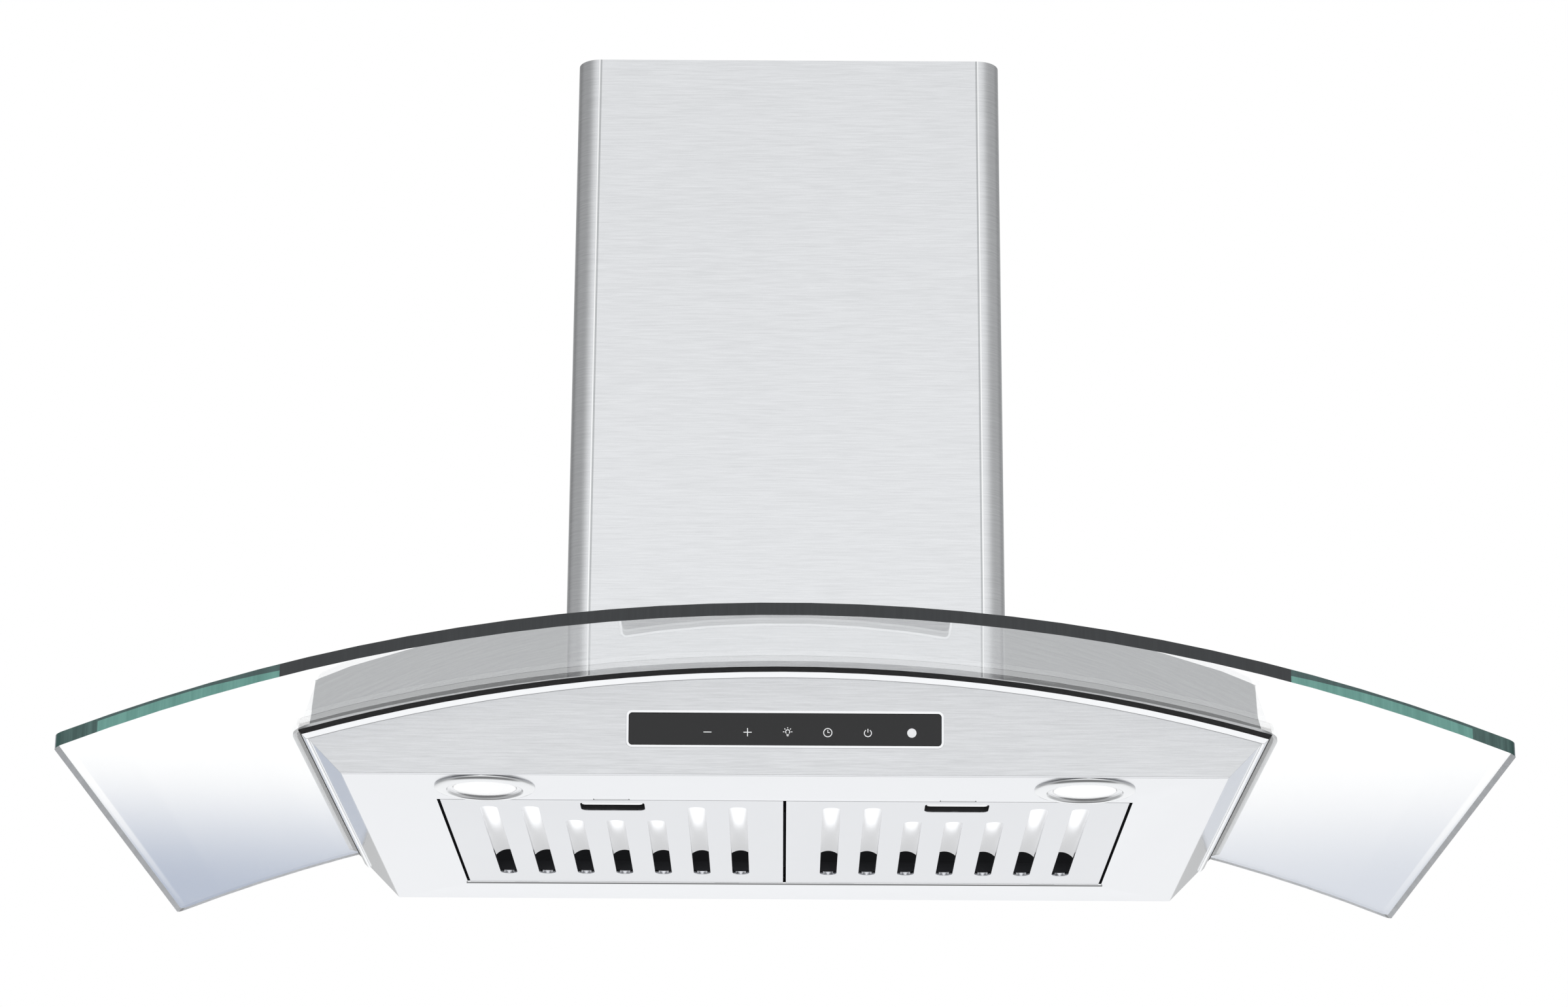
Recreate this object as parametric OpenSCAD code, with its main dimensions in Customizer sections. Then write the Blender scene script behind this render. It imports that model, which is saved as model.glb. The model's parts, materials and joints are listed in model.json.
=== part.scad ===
// Wall chimney hood with a curved glass canopy.
// X runs across the wall, -Y faces the room, Z is up. The wall is the plane y = 0.
// The origin is the middle of the four wall fixing holes, on the wall plane.

/* [Canopy body] */
// Width of the underside
body_w = 576; // [550:1:600]
// Width of the body where the glass rests on it
body_top_w = 625; // [610:1:640]
// Depth of the underside, from the wall to its front edge
body_d = 390; // [380:1:410]
// Angle by which the front panel leans forwards, in degrees
front_lean = 8.2; // [5:0.1:11]
// Thickness of the stainless sheet
sheet_t = 1; // [0.8:0.1:1.2]
// Thickness of the front panel
front_t = 1.2; // [1:0.1:1.6]

/* [Glass canopy] */
// Width of the glass
glass_w = 900; // [740:1:1000]
// Depth of the glass from its front edge to its back edge
glass_d = 503; // [480:1:520]
// Thickness of the glass
glass_t = 8; // [6:0.5:10]
// Radius to which the underside of the glass is bent
glass_r = 1200; // [1150:5:1500]
// Height of the underside of the glass over the underside of the body, at the middle
glass_crown = 71; // [68:1:90]
// Gap between the back edge of the glass and the wall
glass_wall_gap = 19; // [15:1:24]
// Radius of the glass corners in plan
glass_corner_r = 5; // [2:1:20]
// Radius of the bolt holes in the glass
glass_hole_r = 6; // [5:0.5:8]

/* [Seals and trim] */
// Thickness of the black gasket under the glass
gasket_t = 3.6; // [2:0.1:5]
// Width of the black gasket
gasket_w = 14; // [8:1:18]
// How far the gasket stands out past the body
gasket_proud = 1; // [0:0.1:2]
// Height of the bright moulding under the gasket
trim_h = 4; // [3:0.1:6]
// How far the moulding stands out past the body
trim_proud = 1.4; // [1:0.1:3]
// Thickness of the moulding's metal
trim_t = 1; // [0.8:0.1:1.5]
// Thickness of the rubber pad over the glass
pad_t = 1; // [0.5:0.1:2]
// Thickness of the clamp plate over the glass
plate_t = 2; // [1:0.1:3]
// Width of the clamp plate
plate_w = 650; // [632:1:670]
// Distance from the wall to the front edge of the clamp plate
plate_front = 384; // [370:1:400]
// Radius of the clamp plate's front corners
plate_corner_r = 14; // [5:1:25]
// Radius of the clamp bolts
clamp_bolt_r = 3; // [2.5:0.5:4]

/* [Filters] */
// Width of the filter opening
opening_w = 464.5; // [450:0.5:480]
// Distance from the wall to the front edge of the filter opening
opening_front = 320.5; // [310:0.5:330]
// Distance from the wall to the back edge of the filter opening
opening_back = 51; // [45:1:60]
// Height of the flange turned up round the opening
opening_flange = 14; // [10:1:18]
// Gap between a filter and the sides of the opening
filter_side_gap = 2; // [0.8:0.05:2.5]
// Gap between the two filters
filter_middle_gap = 2; // [1:0.5:4]
// Gap between a filter and the front of the opening
filter_front_gap = 1; // [0.8:0.1:2]
// Height of a filter
filter_h = 16; // [14:1:18]
// Thickness of the filter's sheet
filter_t = 1; // [0.6:0.1:1.2]
// Number of slots in a filter
slot_count = 7; // [5:2:9]
// Distance between slots
slot_pitch = 28; // [24:1:28]
// Width of a slot
slot_w = 12; // [8:1:14]
// Length of the long slots
slot_l = 213; // [180:1:214]
// Length of the short slots, which make room for the latch
slot_short_l = 173; // [140:1:176]
// Distance from the back edge of a filter to the end of its slots
slot_margin = 28; // [15:1:30]
// Height of the lip turned up round a slot
slot_lip = 1.6; // [0.5:0.1:2]
// Inner radius of the upper baffle channels
baffle_r = 11.6; // [9:0.1:12]
// Distance from the back edge of a filter to the end of its baffles, where the air turns up
baffle_margin = 44; // [2:1:60]
// Radius of the rod that the filters hang on
rod_r = 2; // [1.5:0.1:3]
// Gap between the rod and a hook that turns on it
rod_clearance = 0.06; // [0.02:0.01:0.1]
// Height of the rod's centre over the underside
rod_z = 1; // [0.8:0.1:3]

/* [Latches] */
// Width of the finger pocket
pocket_w = 43; // [36:1:50]
// Depth of the finger pocket from front to back
pocket_d = 24; // [18:1:25]
// Distance from a filter's front edge to the middle of its pocket
pocket_in = 18.5; // [16:0.5:22]
// Width of the bright finger bar in the pocket
finger_bar = 7; // [5:0.5:9]
// Width of the latch tongue
tongue_w = 16; // [10:1:24]
// How far the tongue reaches past the filter's front wall
tongue_reach = 3; // [2:0.5:3.5]

/* [Lamps] */
// Distance of each lamp from the middle
lamp_x = 197.5; // [180:0.5:210]
// Distance of the lamps from the wall
lamp_wall = 356.7; // [345:0.1:362]
// Outer radius of the lamp trim
lamp_r = 33.2; // [28:0.1:36]
// Radius of the hole for a lamp
lamp_hole_r = 28; // [24:0.5:30]
// Radius of the lamp lens
lens_r = 20.6; // [16:0.1:24]

/* [Controls] */
// Width of the control bezel
control_w = 207; // [180:1:240]
// Height of the control bezel
control_h = 24.4; // [20:0.1:28]
// Height of the middle of the controls over the underside
control_z = 30.2; // [24:0.1:34]
// Width of the bezel's rim
bezel_rim = 1.7; // [1:0.1:3]
// Corner radius of the bezel
bezel_r = 4; // [2:0.5:6]

/* [Chimney] */
// Width of the lower chimney
chimney_w = 305; // [300:1:330]
// Depth of the lower chimney
chimney_d = 270; // [266:1:290]
// Height of the lower chimney's top over the underside of the body
chimney_top = 562; // [500:1:700]
// Radius of the chimney's front corners
chimney_r = 16; // [6:1:25]
// Gap between the two chimneys
chimney_gap = 0.5; // [0.3:0.1:1]
// Width of the flanges turned in at the wall
chimney_flange = 14; // [8:1:15]
// Height of the upper chimney's lower end over the underside of the body
upper_bottom = 150; // [120:1:200]
// Step from the lower chimney's top down to the upper chimney's top, when it is pushed in
upper_step = 2; // [1:0.5:10]

/* [Airbox and duct] */
// Width of the airbox
airbox_w = 262; // [255:1:266]
// Depth of the airbox from the wall
airbox_d = 236; // [234:1:238]
// Height of the airbox's top over the underside of the body
airbox_top = 330; // [325:1:360]
// Width of the airbox's foot flange
airbox_flange = 12; // [8:1:14]
// Thickness of the wall plate
wall_plate_t = 2; // [1.5:0.5:3]
// Outer radius of the duct collar
collar_r = 74.5; // [60:0.5:75]
// Length of the duct collar
collar_l = 60; // [50:1:80]
// Wall of the duct collar
collar_t = 1.5; // [1:0.5:2]

/* [Wall fixings] */
// Height of the middle of the fixing holes over the underside of the body
fix_height = 235; // [210:1:250]
// Distance across the fixing holes
fix_w = 180; // [140:1:200]
// Distance from the upper to the lower fixing holes
fix_h = 140; // [120:1:150]
// Radius of the fixing holes
fix_r = 4; // [3:0.5:5]
// Distance between the two lower steadying holes
steady_w = 440; // [400:1:480]
// Height of the steadying holes over the underside of the body
steady_z = 17; // [16:1:18]
// Radius of the steadying holes
steady_r = 2.5; // [2:0.5:3]
// Distance between the ceiling bracket's holes
ceiling_w = 200; // [160:1:220]
// Radius of the ceiling bracket's holes
ceiling_r = 3; // [2.5:0.5:4]

/* [Blower] */
// Radius of the impeller
wheel_r = 72; // [60:1:74]
// Width of the impeller
wheel_w = 104; // [80:1:110]
// Number of blades
blade_count = 36; // [24:2:48]
// Gap between the impeller and the scroll's side plates
wheel_gap = 8; // [5:0.5:10]
// Smallest inner radius of the scroll, at its tongue
scroll_r0 = 78; // [76:1:82]
// Largest inner radius of the scroll
scroll_r1 = 100; // [92:1:104]
// Wall of the scroll
scroll_t = 1.5; // [1:0.5:2]
// Radius of the scroll's inlets
inlet_r = 56; // [48:1:60]
// Distance of the blower's shaft from the wall
shaft_wall = 108; // [106:1:112]
// Height of the blower's shaft over the underside of the body
shaft_z = 196; // [190:1:215]
// Radius of the motor
motor_r = 38; // [30:1:42]
// Length of the motor
motor_l = 54; // [44:1:56]
// Radius of the motor shaft
shaft_r = 4; // [3:0.5:6]
// Running gap between shaft and bush
shaft_clearance = 0.04; // [0.02:0.01:0.1]

/* [Dampers] */
// Radius of the damper pin
damper_pin_r = 2; // [1.5:0.5:3]
// Running gap between the pin and a flap's barrel
damper_clearance = 0.06; // [0.02:0.01:0.1]
// Thickness of a flap
flap_t = 1.5; // [1:0.1:2]
// Height of the damper pin over the airbox
damper_z = 16; // [12:1:24]

/* [Hidden] */

steel = [0.86, 0.87, 0.89];
chrome = [0.93, 0.94, 0.96];
galvanised = [0.66, 0.69, 0.71];
rubber = [0.06, 0.06, 0.07];
black_plastic = [0.12, 0.12, 0.13];

$fn = 64;
// Segments on the long arcs of the glass and the deck
arc_fn = 720;
// Overshoot of cutting tools
eps = 0.5;

// Height of the bend axis, and the radii of the layers from the deck up
bend_z = glass_crown - glass_r;
seat_r = glass_r - gasket_t - trim_t;
glass_top_r = glass_r + glass_t;
pad_top_r = glass_top_r + pad_t;
plate_top_r = pad_top_r + plate_t;
function arc_z(r, x) = bend_z + sqrt(r * r - x * x);

// The sides lean so that they run from the underside to the edge under the trim
side_top_z = arc_z(seat_r, body_top_w / 2);
side_slope = (body_top_w - body_w) / 2 / side_top_z;
front_slope = tan(front_lean);
function side_x(z) = body_w / 2 + z * side_slope;
function front_y(z) = -body_d - z * front_slope;
// An offset square to a leaning face, as a horizontal distance
function side_step(offset) = offset * sqrt(1 + side_slope * side_slope);
function front_step(offset) = offset / cos(front_lean);
block_top = 140;

glass_back_y = -glass_wall_gap;
glass_front_y = glass_back_y - glass_d;
notch_clear = 6;
notch_w = airbox_w + 2 * (airbox_flange + notch_clear);
notch_d = airbox_d + airbox_flange + notch_clear;

rod_y = -opening_back - rod_r - 2.2;
hook_t = 1.6;
filter_w = (opening_w - 2 * filter_side_gap - filter_middle_gap) / 2;
filter_front_y = -opening_front + filter_front_gap;
filter_back_y = rod_y - rod_r - 1;
filter_x = (filter_w + filter_middle_gap) / 2;
slot_back_y = filter_back_y - slot_margin;
baffle_z = filter_t + slot_lip + 0.4;
pocket_y = filter_front_y + pocket_in;
tongue_z = 6;
tongue_t = 2;
strike_notch = tongue_w + 8;

chimney_in_w = chimney_w - 2 * sheet_t;
upper_w = chimney_in_w - 2 * chimney_gap;
upper_d = chimney_d - sheet_t - chimney_gap;
upper_top = chimney_top - upper_step;
upper_back = 3;
bracket_h = 32;
bracket_t = 1.5;

airbox_back = -wall_plate_t;
scroll_in_w = wheel_w + 2 * wheel_gap;
throat_back = scroll_r0 * cos(80);
collar_y = -shaft_wall - (scroll_r1 - throat_back) / 2;
collar_z = airbox_top + sheet_t;
motor_x0 = -scroll_in_w / 2 - scroll_t;
rotor_r = 16;
stator_r = 30;
rotor_gap = 0.5;
bush_r = 8;
bush_l = 8;

// Everything is drawn with z = 0 at the underside, and hung from the wall fixing
module hung() translate([0, 0, -fix_height]) children();

// A solid between two radii about the bend axis
module arc_layer(r_in, r_out, y0 = -700, y1 = 50) {
    translate([0, y1, bend_z]) rotate([90, 0, 0])
        difference() {
            cylinder(h = y1 - y0, r = r_out, $fn = arc_fn);
            translate([0, 0, -eps]) cylinder(h = y1 - y0 + 2 * eps, r = r_in, $fn = arc_fn);
        }
}
// Everything under a radius about the bend axis
module under_arc(r) {
    translate([0, 50, bend_z]) rotate([90, 0, 0]) cylinder(h = 750, r = r, $fn = arc_fn);
}
// The leaning block of the body, with its sides and its front moved out by an offset
module body_block(side = 0, front = 0, z0 = 0, z1 = block_top, back = 0) {
    s = side_step(side);
    f = front_step(front);
    intersection() {
        rotate([90, 0, 0]) linear_extrude(2 * body_d)
            polygon([
                [-side_x(z0) - s, z0], [side_x(z0) + s, z0],
                [side_x(z1) + s, z1], [-side_x(z1) - s, z1]
            ]);
        rotate([90, 0, 90]) linear_extrude(2 * body_w, center = true)
            polygon([
                [front_y(z0) - f, z0], [-back, z0],
                [-back, z1], [front_y(z1) - f, z1]
            ]);
    }
}
// A ring of the body's outline, between two offsets
module body_ring(out, width) {
    difference() {
        body_block(side = out, front = out);
        body_block(side = out - width, front = out - width, z0 = -eps, z1 = block_top + eps,
            back = width - out);
    }
}
module box_xy(x0, x1, y0, y1, z0, z1) {
    translate([x0, y0, z0]) cube([x1 - x0, y1 - y0, z1 - z0]);
}
// A rectangle with round corners, made of squares and circles
module rounded(w, d, r) {
    square([w - 2 * r, d], center = true);
    square([w, d - 2 * r], center = true);
    for (i = [-1, 1], j = [-1, 1])
        translate([i * (w / 2 - r), j * (d / 2 - r)]) circle(r);
}
// A slot with round ends, from y = 0 to y = -l
module slot_2d(w, l) {
    translate([-w / 2, -l + w / 2]) square([w, l - w]);
    for (y = [-w / 2, -l + w / 2]) translate([0, y]) circle(d = w);
}
// Puts a child on the bend, at a distance x from the middle, standing square to the glass
module on_bend(x, y) {
    translate([0, y, bend_z]) rotate([0, asin(x / glass_r), 0]) children();
}
// Puts a child on the front panel: its z is the outward normal, its y runs up the panel
module on_front(x, z) {
    translate([x, front_y(z), z]) rotate([90 + front_lean, 0, 0]) children();
}
module screw(r, l, head_r, head_h) {
    translate([0, 0, -l]) cylinder(h = l, r = r, $fn = 32);
    difference() {
        cylinder(h = head_h, r = head_r, $fn = 32);
        for (a = [0, 90]) rotate(a)
            translate([-head_r * 0.6, -head_r * 0.12, head_h * 0.4])
                cube([head_r * 1.2, head_r * 0.24, head_h]);
    }
}
// The clamp bolts' places: x along the bend and y
clamp_x = body_top_w / 2 - gasket_w - 18;
clamp_places = [
    for (s = [-1, 1], y = [-40, -195, -350]) [s * clamp_x, y],
    for (s = [-1, 1]) [s * 95, -350]
];
module at_clamps() {
    for (p = clamp_places) on_bend(p[0], p[1]) children();
}

// The screws that hold the airbox's foot flange down on the deck
airbox_screw_r = 2;
airbox_screw_x = airbox_w / 2 + airbox_flange / 2;
airbox_screw_places = [for (s = [-1, 1], y = [-30, -120, -210]) [s * airbox_screw_x, y]];
module at_airbox_screws() {
    for (p = airbox_screw_places) on_bend(p[0], p[1]) children();
}

// ---- canopy body ----

module canopy_shell() color(steel) hung() difference() {
    union() {
        // Side walls and back wall, up to the flange of the moulding
        difference() {
            intersection() {
                body_block(front = -front_t, z0 = sheet_t);
                under_arc(seat_r);
            }
            body_block(side = -sheet_t, front = front_t, z0 = 0, z1 = block_top + eps, back = sheet_t);
        }
        // Arched deck under the glass
        intersection() {
            body_block(side = -sheet_t / 2, front = -front_t, z0 = sheet_t, back = sheet_t / 2);
            arc_layer(seat_r - sheet_t, seat_r);
        }
    }
    // Opening into the airbox
    box_xy(-airbox_w / 2 + sheet_t, airbox_w / 2 - sheet_t,
        -airbox_d + sheet_t, airbox_back - sheet_t, 20, 120);
    at_clamps() translate([0, 0, seat_r - 10]) cylinder(h = 20, r = clamp_bolt_r);
    at_airbox_screws() translate([0, 0, seat_r - 10]) cylinder(h = 20, r = airbox_screw_r);
    for (s = [-1, 1]) translate([s * steady_w / 2, eps, steady_z]) rotate([90, 0, 0])
        cylinder(h = 10, r = steady_r);
}

module front_panel() color(steel) hung() difference() {
    intersection() {
        body_block(z0 = sheet_t);
        under_arc(seat_r);
    }
    body_block(side = 50, front = -front_t, z0 = 0, z1 = block_top + eps, back = -eps);
    on_front(0, control_z) linear_extrude(20, center = true)
        rounded(control_w - 2 * bezel_rim, control_h - 2 * bezel_rim, bezel_r - bezel_rim);
}

module bottom_panel() color(steel) hung() {
    difference() {
        union() {
            body_block(z0 = 0, z1 = sheet_t);
            // Flange turned up round the filter opening
            box_xy(-opening_w / 2 - sheet_t, opening_w / 2 + sheet_t,
                -opening_front - sheet_t, -opening_back + sheet_t, 0, opening_flange);
        }
        box_xy(-opening_w / 2, opening_w / 2, -opening_front, -opening_back, -eps, 50);
        for (s = [-1, 1]) {
            translate([s * lamp_x, -lamp_wall, -eps]) cylinder(h = 5, r = lamp_hole_r, $fn = 96);
            // Window for the latch tongue, closed by the spring strike
            box_xy(s * filter_x - strike_notch / 2, s * filter_x + strike_notch / 2,
                -opening_front - tongue_reach, -opening_front + eps, -eps, 50);
        }
        // Holes that hold the filter rod at its ends
        translate([0, rod_y, rod_z]) rotate([0, 90, 0])
            cylinder(h = opening_w + 2 * sheet_t, r = rod_r, center = true);
    }
}

module trim_moulding() color(chrome) hung() difference() {
    union() {
        // Flange that the gasket lies on
        intersection() {
            body_ring(trim_proud, gasket_w);
            arc_layer(seat_r, seat_r + trim_t);
        }
        // Bright lip that hangs in front of the panel and the sides
        intersection() {
            body_ring(trim_proud, trim_proud);
            arc_layer(seat_r + trim_t - trim_h, seat_r + trim_t);
        }
    }
    box_xy(-500, 500, -trim_t, 50, 0, 200);
    // The airbox stands in the gap at the back
    box_xy(-notch_w / 2, notch_w / 2, -50, 50, 0, 200);
}

module glass_gasket() color(rubber) hung() intersection() {
    body_ring(gasket_proud, gasket_w);
    arc_layer(seat_r + trim_t, glass_r);
    box_xy(-500, 500, -700, glass_back_y, 0, 200);
}

// ---- glass ----

module plan_sheet(w, front, back, r) {
    d = front - back;
    translate([0, -(front + back) / 2, -200]) linear_extrude(400) rounded(w, d, r);
}
module notch(z0 = -200) {
    box_xy(-notch_w / 2, notch_w / 2, -notch_d, 50, z0, 300);
}

module glass_canopy() color([0.75, 0.87, 0.85, 0.4]) hung() difference() {
    intersection() {
        arc_layer(glass_r, glass_top_r);
        plan_sheet(glass_w, -glass_front_y, -glass_back_y, glass_corner_r);
    }
    notch();
    at_clamps() translate([0, 0, glass_r - 10]) cylinder(h = glass_t + 20, r = glass_hole_r);
}

module clamp_pad() color(rubber) hung() difference() {
    intersection() {
        arc_layer(glass_top_r, pad_top_r);
        plan_sheet(plate_w - 6, plate_front - 3, glass_wall_gap, plate_corner_r - 3);
    }
    intersection() {
        arc_layer(glass_top_r - eps, pad_top_r + eps);
        plan_sheet(plate_w - 56, plate_front - 28, -30, plate_corner_r);
        union() {
            box_xy(-clamp_x + 20, clamp_x - 20, -plate_front + 60, 50, -200, 300);
            notch();
        }
    }
    at_clamps() translate([0, 0, glass_r]) cylinder(h = 30, r = glass_hole_r);
}

module clamp_plate() color(steel) hung() difference() {
    intersection() {
        arc_layer(pad_top_r, plate_top_r);
        plan_sheet(plate_w, plate_front, glass_wall_gap, plate_corner_r);
    }
    notch();
    at_clamps() translate([0, 0, glass_r]) cylinder(h = 40, r = clamp_bolt_r);
}

nut_h = 5;
module clamp_bolts() color(chrome) hung() at_clamps() {
    translate([0, 0, plate_top_r]) difference() {
        intersection() {
            cylinder(h = clamp_bolt_r, r = 2 * clamp_bolt_r);
            translate([0, 0, -3 * clamp_bolt_r]) sphere(r = 4.2 * clamp_bolt_r);
        }
        translate([0, 0, clamp_bolt_r * 0.4]) cylinder(h = 10, r = clamp_bolt_r * 0.9, $fn = 6);
    }
    nut_top = seat_r - sheet_t - 0.05;
    shank_z = nut_top - nut_h - 2;
    translate([0, 0, shank_z]) cylinder(h = plate_top_r - shank_z, r = clamp_bolt_r);
    translate([0, 0, nut_top - nut_h]) cylinder(h = nut_h, r = 2 * clamp_bolt_r, $fn = 6);
}

module glass_grommets() color(rubber) hung() at_clamps() difference() {
    union() {
        translate([0, 0, seat_r + 0.1]) cylinder(h = glass_r - seat_r - 0.2, r = glass_hole_r + 4);
        translate([0, 0, glass_r - 0.2]) cylinder(h = glass_t, r = glass_hole_r - 0.1);
    }
    translate([0, 0, seat_r - eps]) cylinder(h = glass_t + 10, r = clamp_bolt_r);
}

// ---- controls ----

bezel_proud = 0.9;
control_glass_t = 3;
module control_bezel() color(chrome) hung() on_front(0, control_z) difference() {
    linear_extrude(bezel_proud) rounded(control_w, control_h, bezel_r);
    translate([0, 0, -eps]) linear_extrude(5)
        rounded(control_w - 2 * bezel_rim, control_h - 2 * bezel_rim, bezel_r - bezel_rim);
}
module control_glass() color([0.2, 0.2, 0.21]) hung() on_front(0, control_z)
    translate([0, 0, 0.5 - control_glass_t]) linear_extrude(control_glass_t)
        rounded(control_w - 2 * bezel_rim - 0.2, control_h - 2 * bezel_rim - 0.2,
            bezel_r - bezel_rim);
module control_board() color([0.1, 0.4, 0.2]) hung() on_front(0, control_z) {
    board_z = 0.5 - control_glass_t - 1.6;
    translate([0, 0, board_z]) linear_extrude(1.6)
        square([control_w - 16, control_h - 6], center = true);
    // Six touch sensor pads' drive chips
    for (i = [-3:2]) translate([26 * i + 13, 0, board_z - 1.2]) linear_extrude(1.2)
        square([7, 7], center = true);
}
module control_cover() color(black_plastic) hung() on_front(0, control_z) {
    z_back = -front_t - 14;
    difference() {
        translate([0, 0, z_back]) linear_extrude(14)
            rounded(control_w + 16, control_h + 14, 4);
        translate([0, 0, z_back + 2]) linear_extrude(20)
            rounded(control_w + 12, control_h + 10, 2);
        // Lead-out for the ribbon
        translate([0, -control_h / 2, z_back - eps]) linear_extrude(5) square([30, 6], center = true);
    }
}

// ---- lamps ----

trim_drop = 3;
module lamp_trim(s) translate([s * lamp_x, -lamp_wall, 0]) {
    rim_r = 26;
    difference() {
        rotate_extrude($fn = 128) polygon([
            [lens_r + 0.2, 3], [lens_r + 0.2, -1.2], [rim_r - 1.4, -1.2],
            [rim_r - 0.6, -trim_drop + 0.4], [rim_r, -trim_drop],
            for (a = [10:10:80]) [
                rim_r + (lamp_r - rim_r) * sin(a),
                -0.6 - (trim_drop - 0.6) * cos(a)
            ],
            [lamp_r, -0.6], [lamp_r, 0], [lamp_hole_r - 0.3, 0], [lamp_hole_r - 0.3, 3]
        ]);
        // Two keying notches in the inner ring
        for (a = [55, 125]) rotate(a) translate([lens_r + 2.6, 0, -1.8])
            cube([3.6, 7, 1.4], center = true);
    }
}
module lamp_lens(s) translate([s * lamp_x, -lamp_wall, 0]) rotate_extrude($fn = 128) polygon([
    [0, 1], [0, -1.6],
    for (a = [15:15:75]) [lens_r * sin(a), -1 - 0.6 * cos(a)],
    [lens_r, -1], [lens_r, 1]
]);
module lamp_housing(s) translate([s * lamp_x, -lamp_wall, 0]) {
    difference() {
        translate([0, 0, 3]) cylinder(h = 19, r = lamp_hole_r - 2);
        translate([0, 0, 2]) cylinder(h = 8, r = lamp_hole_r - 4);
        // Cooling slots across the back
        for (i = [-3:3]) translate([7 * i, 0, 20]) cube([3, 80, 10], center = true);
    }
    // Light-emitting board
    translate([0, 0, 8]) cylinder(h = 2, r = lamp_hole_r - 4);
}
module lamp_left_trim() color(chrome) hung() lamp_trim(-1);
module lamp_right_trim() color(chrome) hung() lamp_trim(1);
module lamp_left_lens() color("white") hung() lamp_lens(-1);
module lamp_right_lens() color("white") hung() lamp_lens(1);
module lamp_left_housing() color(galvanised) hung() lamp_housing(-1);
module lamp_right_housing() color(galvanised) hung() lamp_housing(1);
// Spring clips that press each lamp down on the panel
module lamp_clips() color(steel) hung()
    for (s = [-1, 1], t = [-1, 1]) translate([s * lamp_x, -lamp_wall, 0]) {
        x0 = lamp_hole_r - 2;
        x1 = x0 + 7;
        box_xy(min(t * x0, t * (x0 + 1)), max(t * x0, t * (x0 + 1)), -5, 5, 4, 14);
        box_xy(min(t * x0, t * x1), max(t * x0, t * x1), -5, 5, 13.4, 14);
        box_xy(min(t * (x1 - 0.6), t * x1), max(t * (x1 - 0.6), t * x1), -5, 5, sheet_t, 14);
    }

// ---- filters ----

module filter_rod() color(chrome) hung()
    translate([0, rod_y, rod_z]) rotate([0, 90, 0])
        cylinder(h = opening_w + 2 * sheet_t, r = rod_r, center = true);

function is_short(i) = abs(i) <= 1;
slot_side = (slot_count - 1) / 2;
module at_slots(s) {
    for (i = [-slot_side:slot_side])
        translate([s * filter_x + i * slot_pitch, slot_back_y, 0])
            children(is_short(i) ? 1 : 0);
}
pocket_wall = 2;
module filter_tray(s) {
    x0 = s * filter_x - filter_w / 2;
    x1 = s * filter_x + filter_w / 2;
    difference() {
        union() {
            difference() {
                box_xy(x0, x1, filter_front_y, filter_back_y, 0, filter_h);
                box_xy(x0 + filter_t, x1 - filter_t, filter_front_y + filter_t,
                    filter_back_y - filter_t, filter_t, filter_h + eps);
            }
            at_slots(s) {
                linear_extrude(filter_t + slot_lip) slot_2d(slot_w + 2, slot_l + 2);
                linear_extrude(filter_t + slot_lip) slot_2d(slot_w + 2, slot_short_l + 2);
            }
        }
        at_slots(s) {
            translate([0, -1, -eps]) linear_extrude(10) slot_2d(slot_w, slot_l);
            translate([0, -1, -eps]) linear_extrude(10) slot_2d(slot_w, slot_short_l);
        }
        translate([s * filter_x, pocket_y, -eps]) linear_extrude(5) rounded(pocket_w, pocket_d, 5);
        // Slot in the front wall for the tongue
        box_xy(s * filter_x - tongue_w / 2 - 1, s * filter_x + tongue_w / 2 + 1,
            filter_front_y - eps, filter_front_y + 5, tongue_z - 0.5, tongue_z + tongue_t + 0.5);
    }
}
baffle_short = slot_l - slot_short_l;
module filter_baffles(s) {
    y1 = filter_back_y - baffle_margin;
    y0 = filter_front_y + filter_t + 1.5;
    difference() {
        union() {
            for (i = [-slot_side:slot_side]) {
                start = is_short(i) ? y0 + baffle_short : y0;
                translate([s * filter_x + i * slot_pitch, y1, baffle_z]) rotate([90, 0, 0])
                    cylinder(h = y1 - start, r = baffle_r + 0.8);
            }
            // Cross bars that join the channels
            for (y = [y0 + baffle_short + 8, y1 - 8])
                translate([s * filter_x, y, baffle_z + baffle_r + 0.4])
                    cube([filter_w - 2 * filter_t - 0.4, 12, 0.8], center = true);
        }
        for (i = [-slot_side:slot_side])
            translate([s * filter_x + i * slot_pitch, y1 + eps, baffle_z]) rotate([90, 0, 0])
                cylinder(h = y1 - y0 + 2 * eps, r = baffle_r);
        box_xy(-400, 400, -400, 0, -50, baffle_z);
    }
}
hook_w = 18;
module filter_hooks(s) {
    for (t = [-1, 1]) translate([s * filter_x + t * filter_w * 0.32, 0, 0]) difference() {
        union() {
            translate([0, rod_y, rod_z]) rotate([0, 90, 0])
                cylinder(h = hook_w, r = rod_r + hook_t, center = true);
            box_xy(-hook_w / 2, hook_w / 2, filter_back_y, rod_y, rod_z + rod_r + 0.2,
                rod_z + rod_r + hook_t);
            box_xy(-hook_w / 2, hook_w / 2, filter_back_y, filter_back_y + hook_t * 0.6,
                rod_z + rod_r + 0.2, filter_h - 2);
        }
        translate([0, rod_y, rod_z]) rotate([0, 90, 0])
            cylinder(h = hook_w + 2, r = rod_r + rod_clearance, center = true);
        // The hook is open underneath, so the filter lifts off the rod
        box_xy(-hook_w, hook_w, rod_y - 10, rod_y + 10, -10, rod_z - rod_r * 0.4);
        box_xy(-hook_w, hook_w, filter_back_y - 10, filter_back_y, -10, 30);
    }
}
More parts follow.
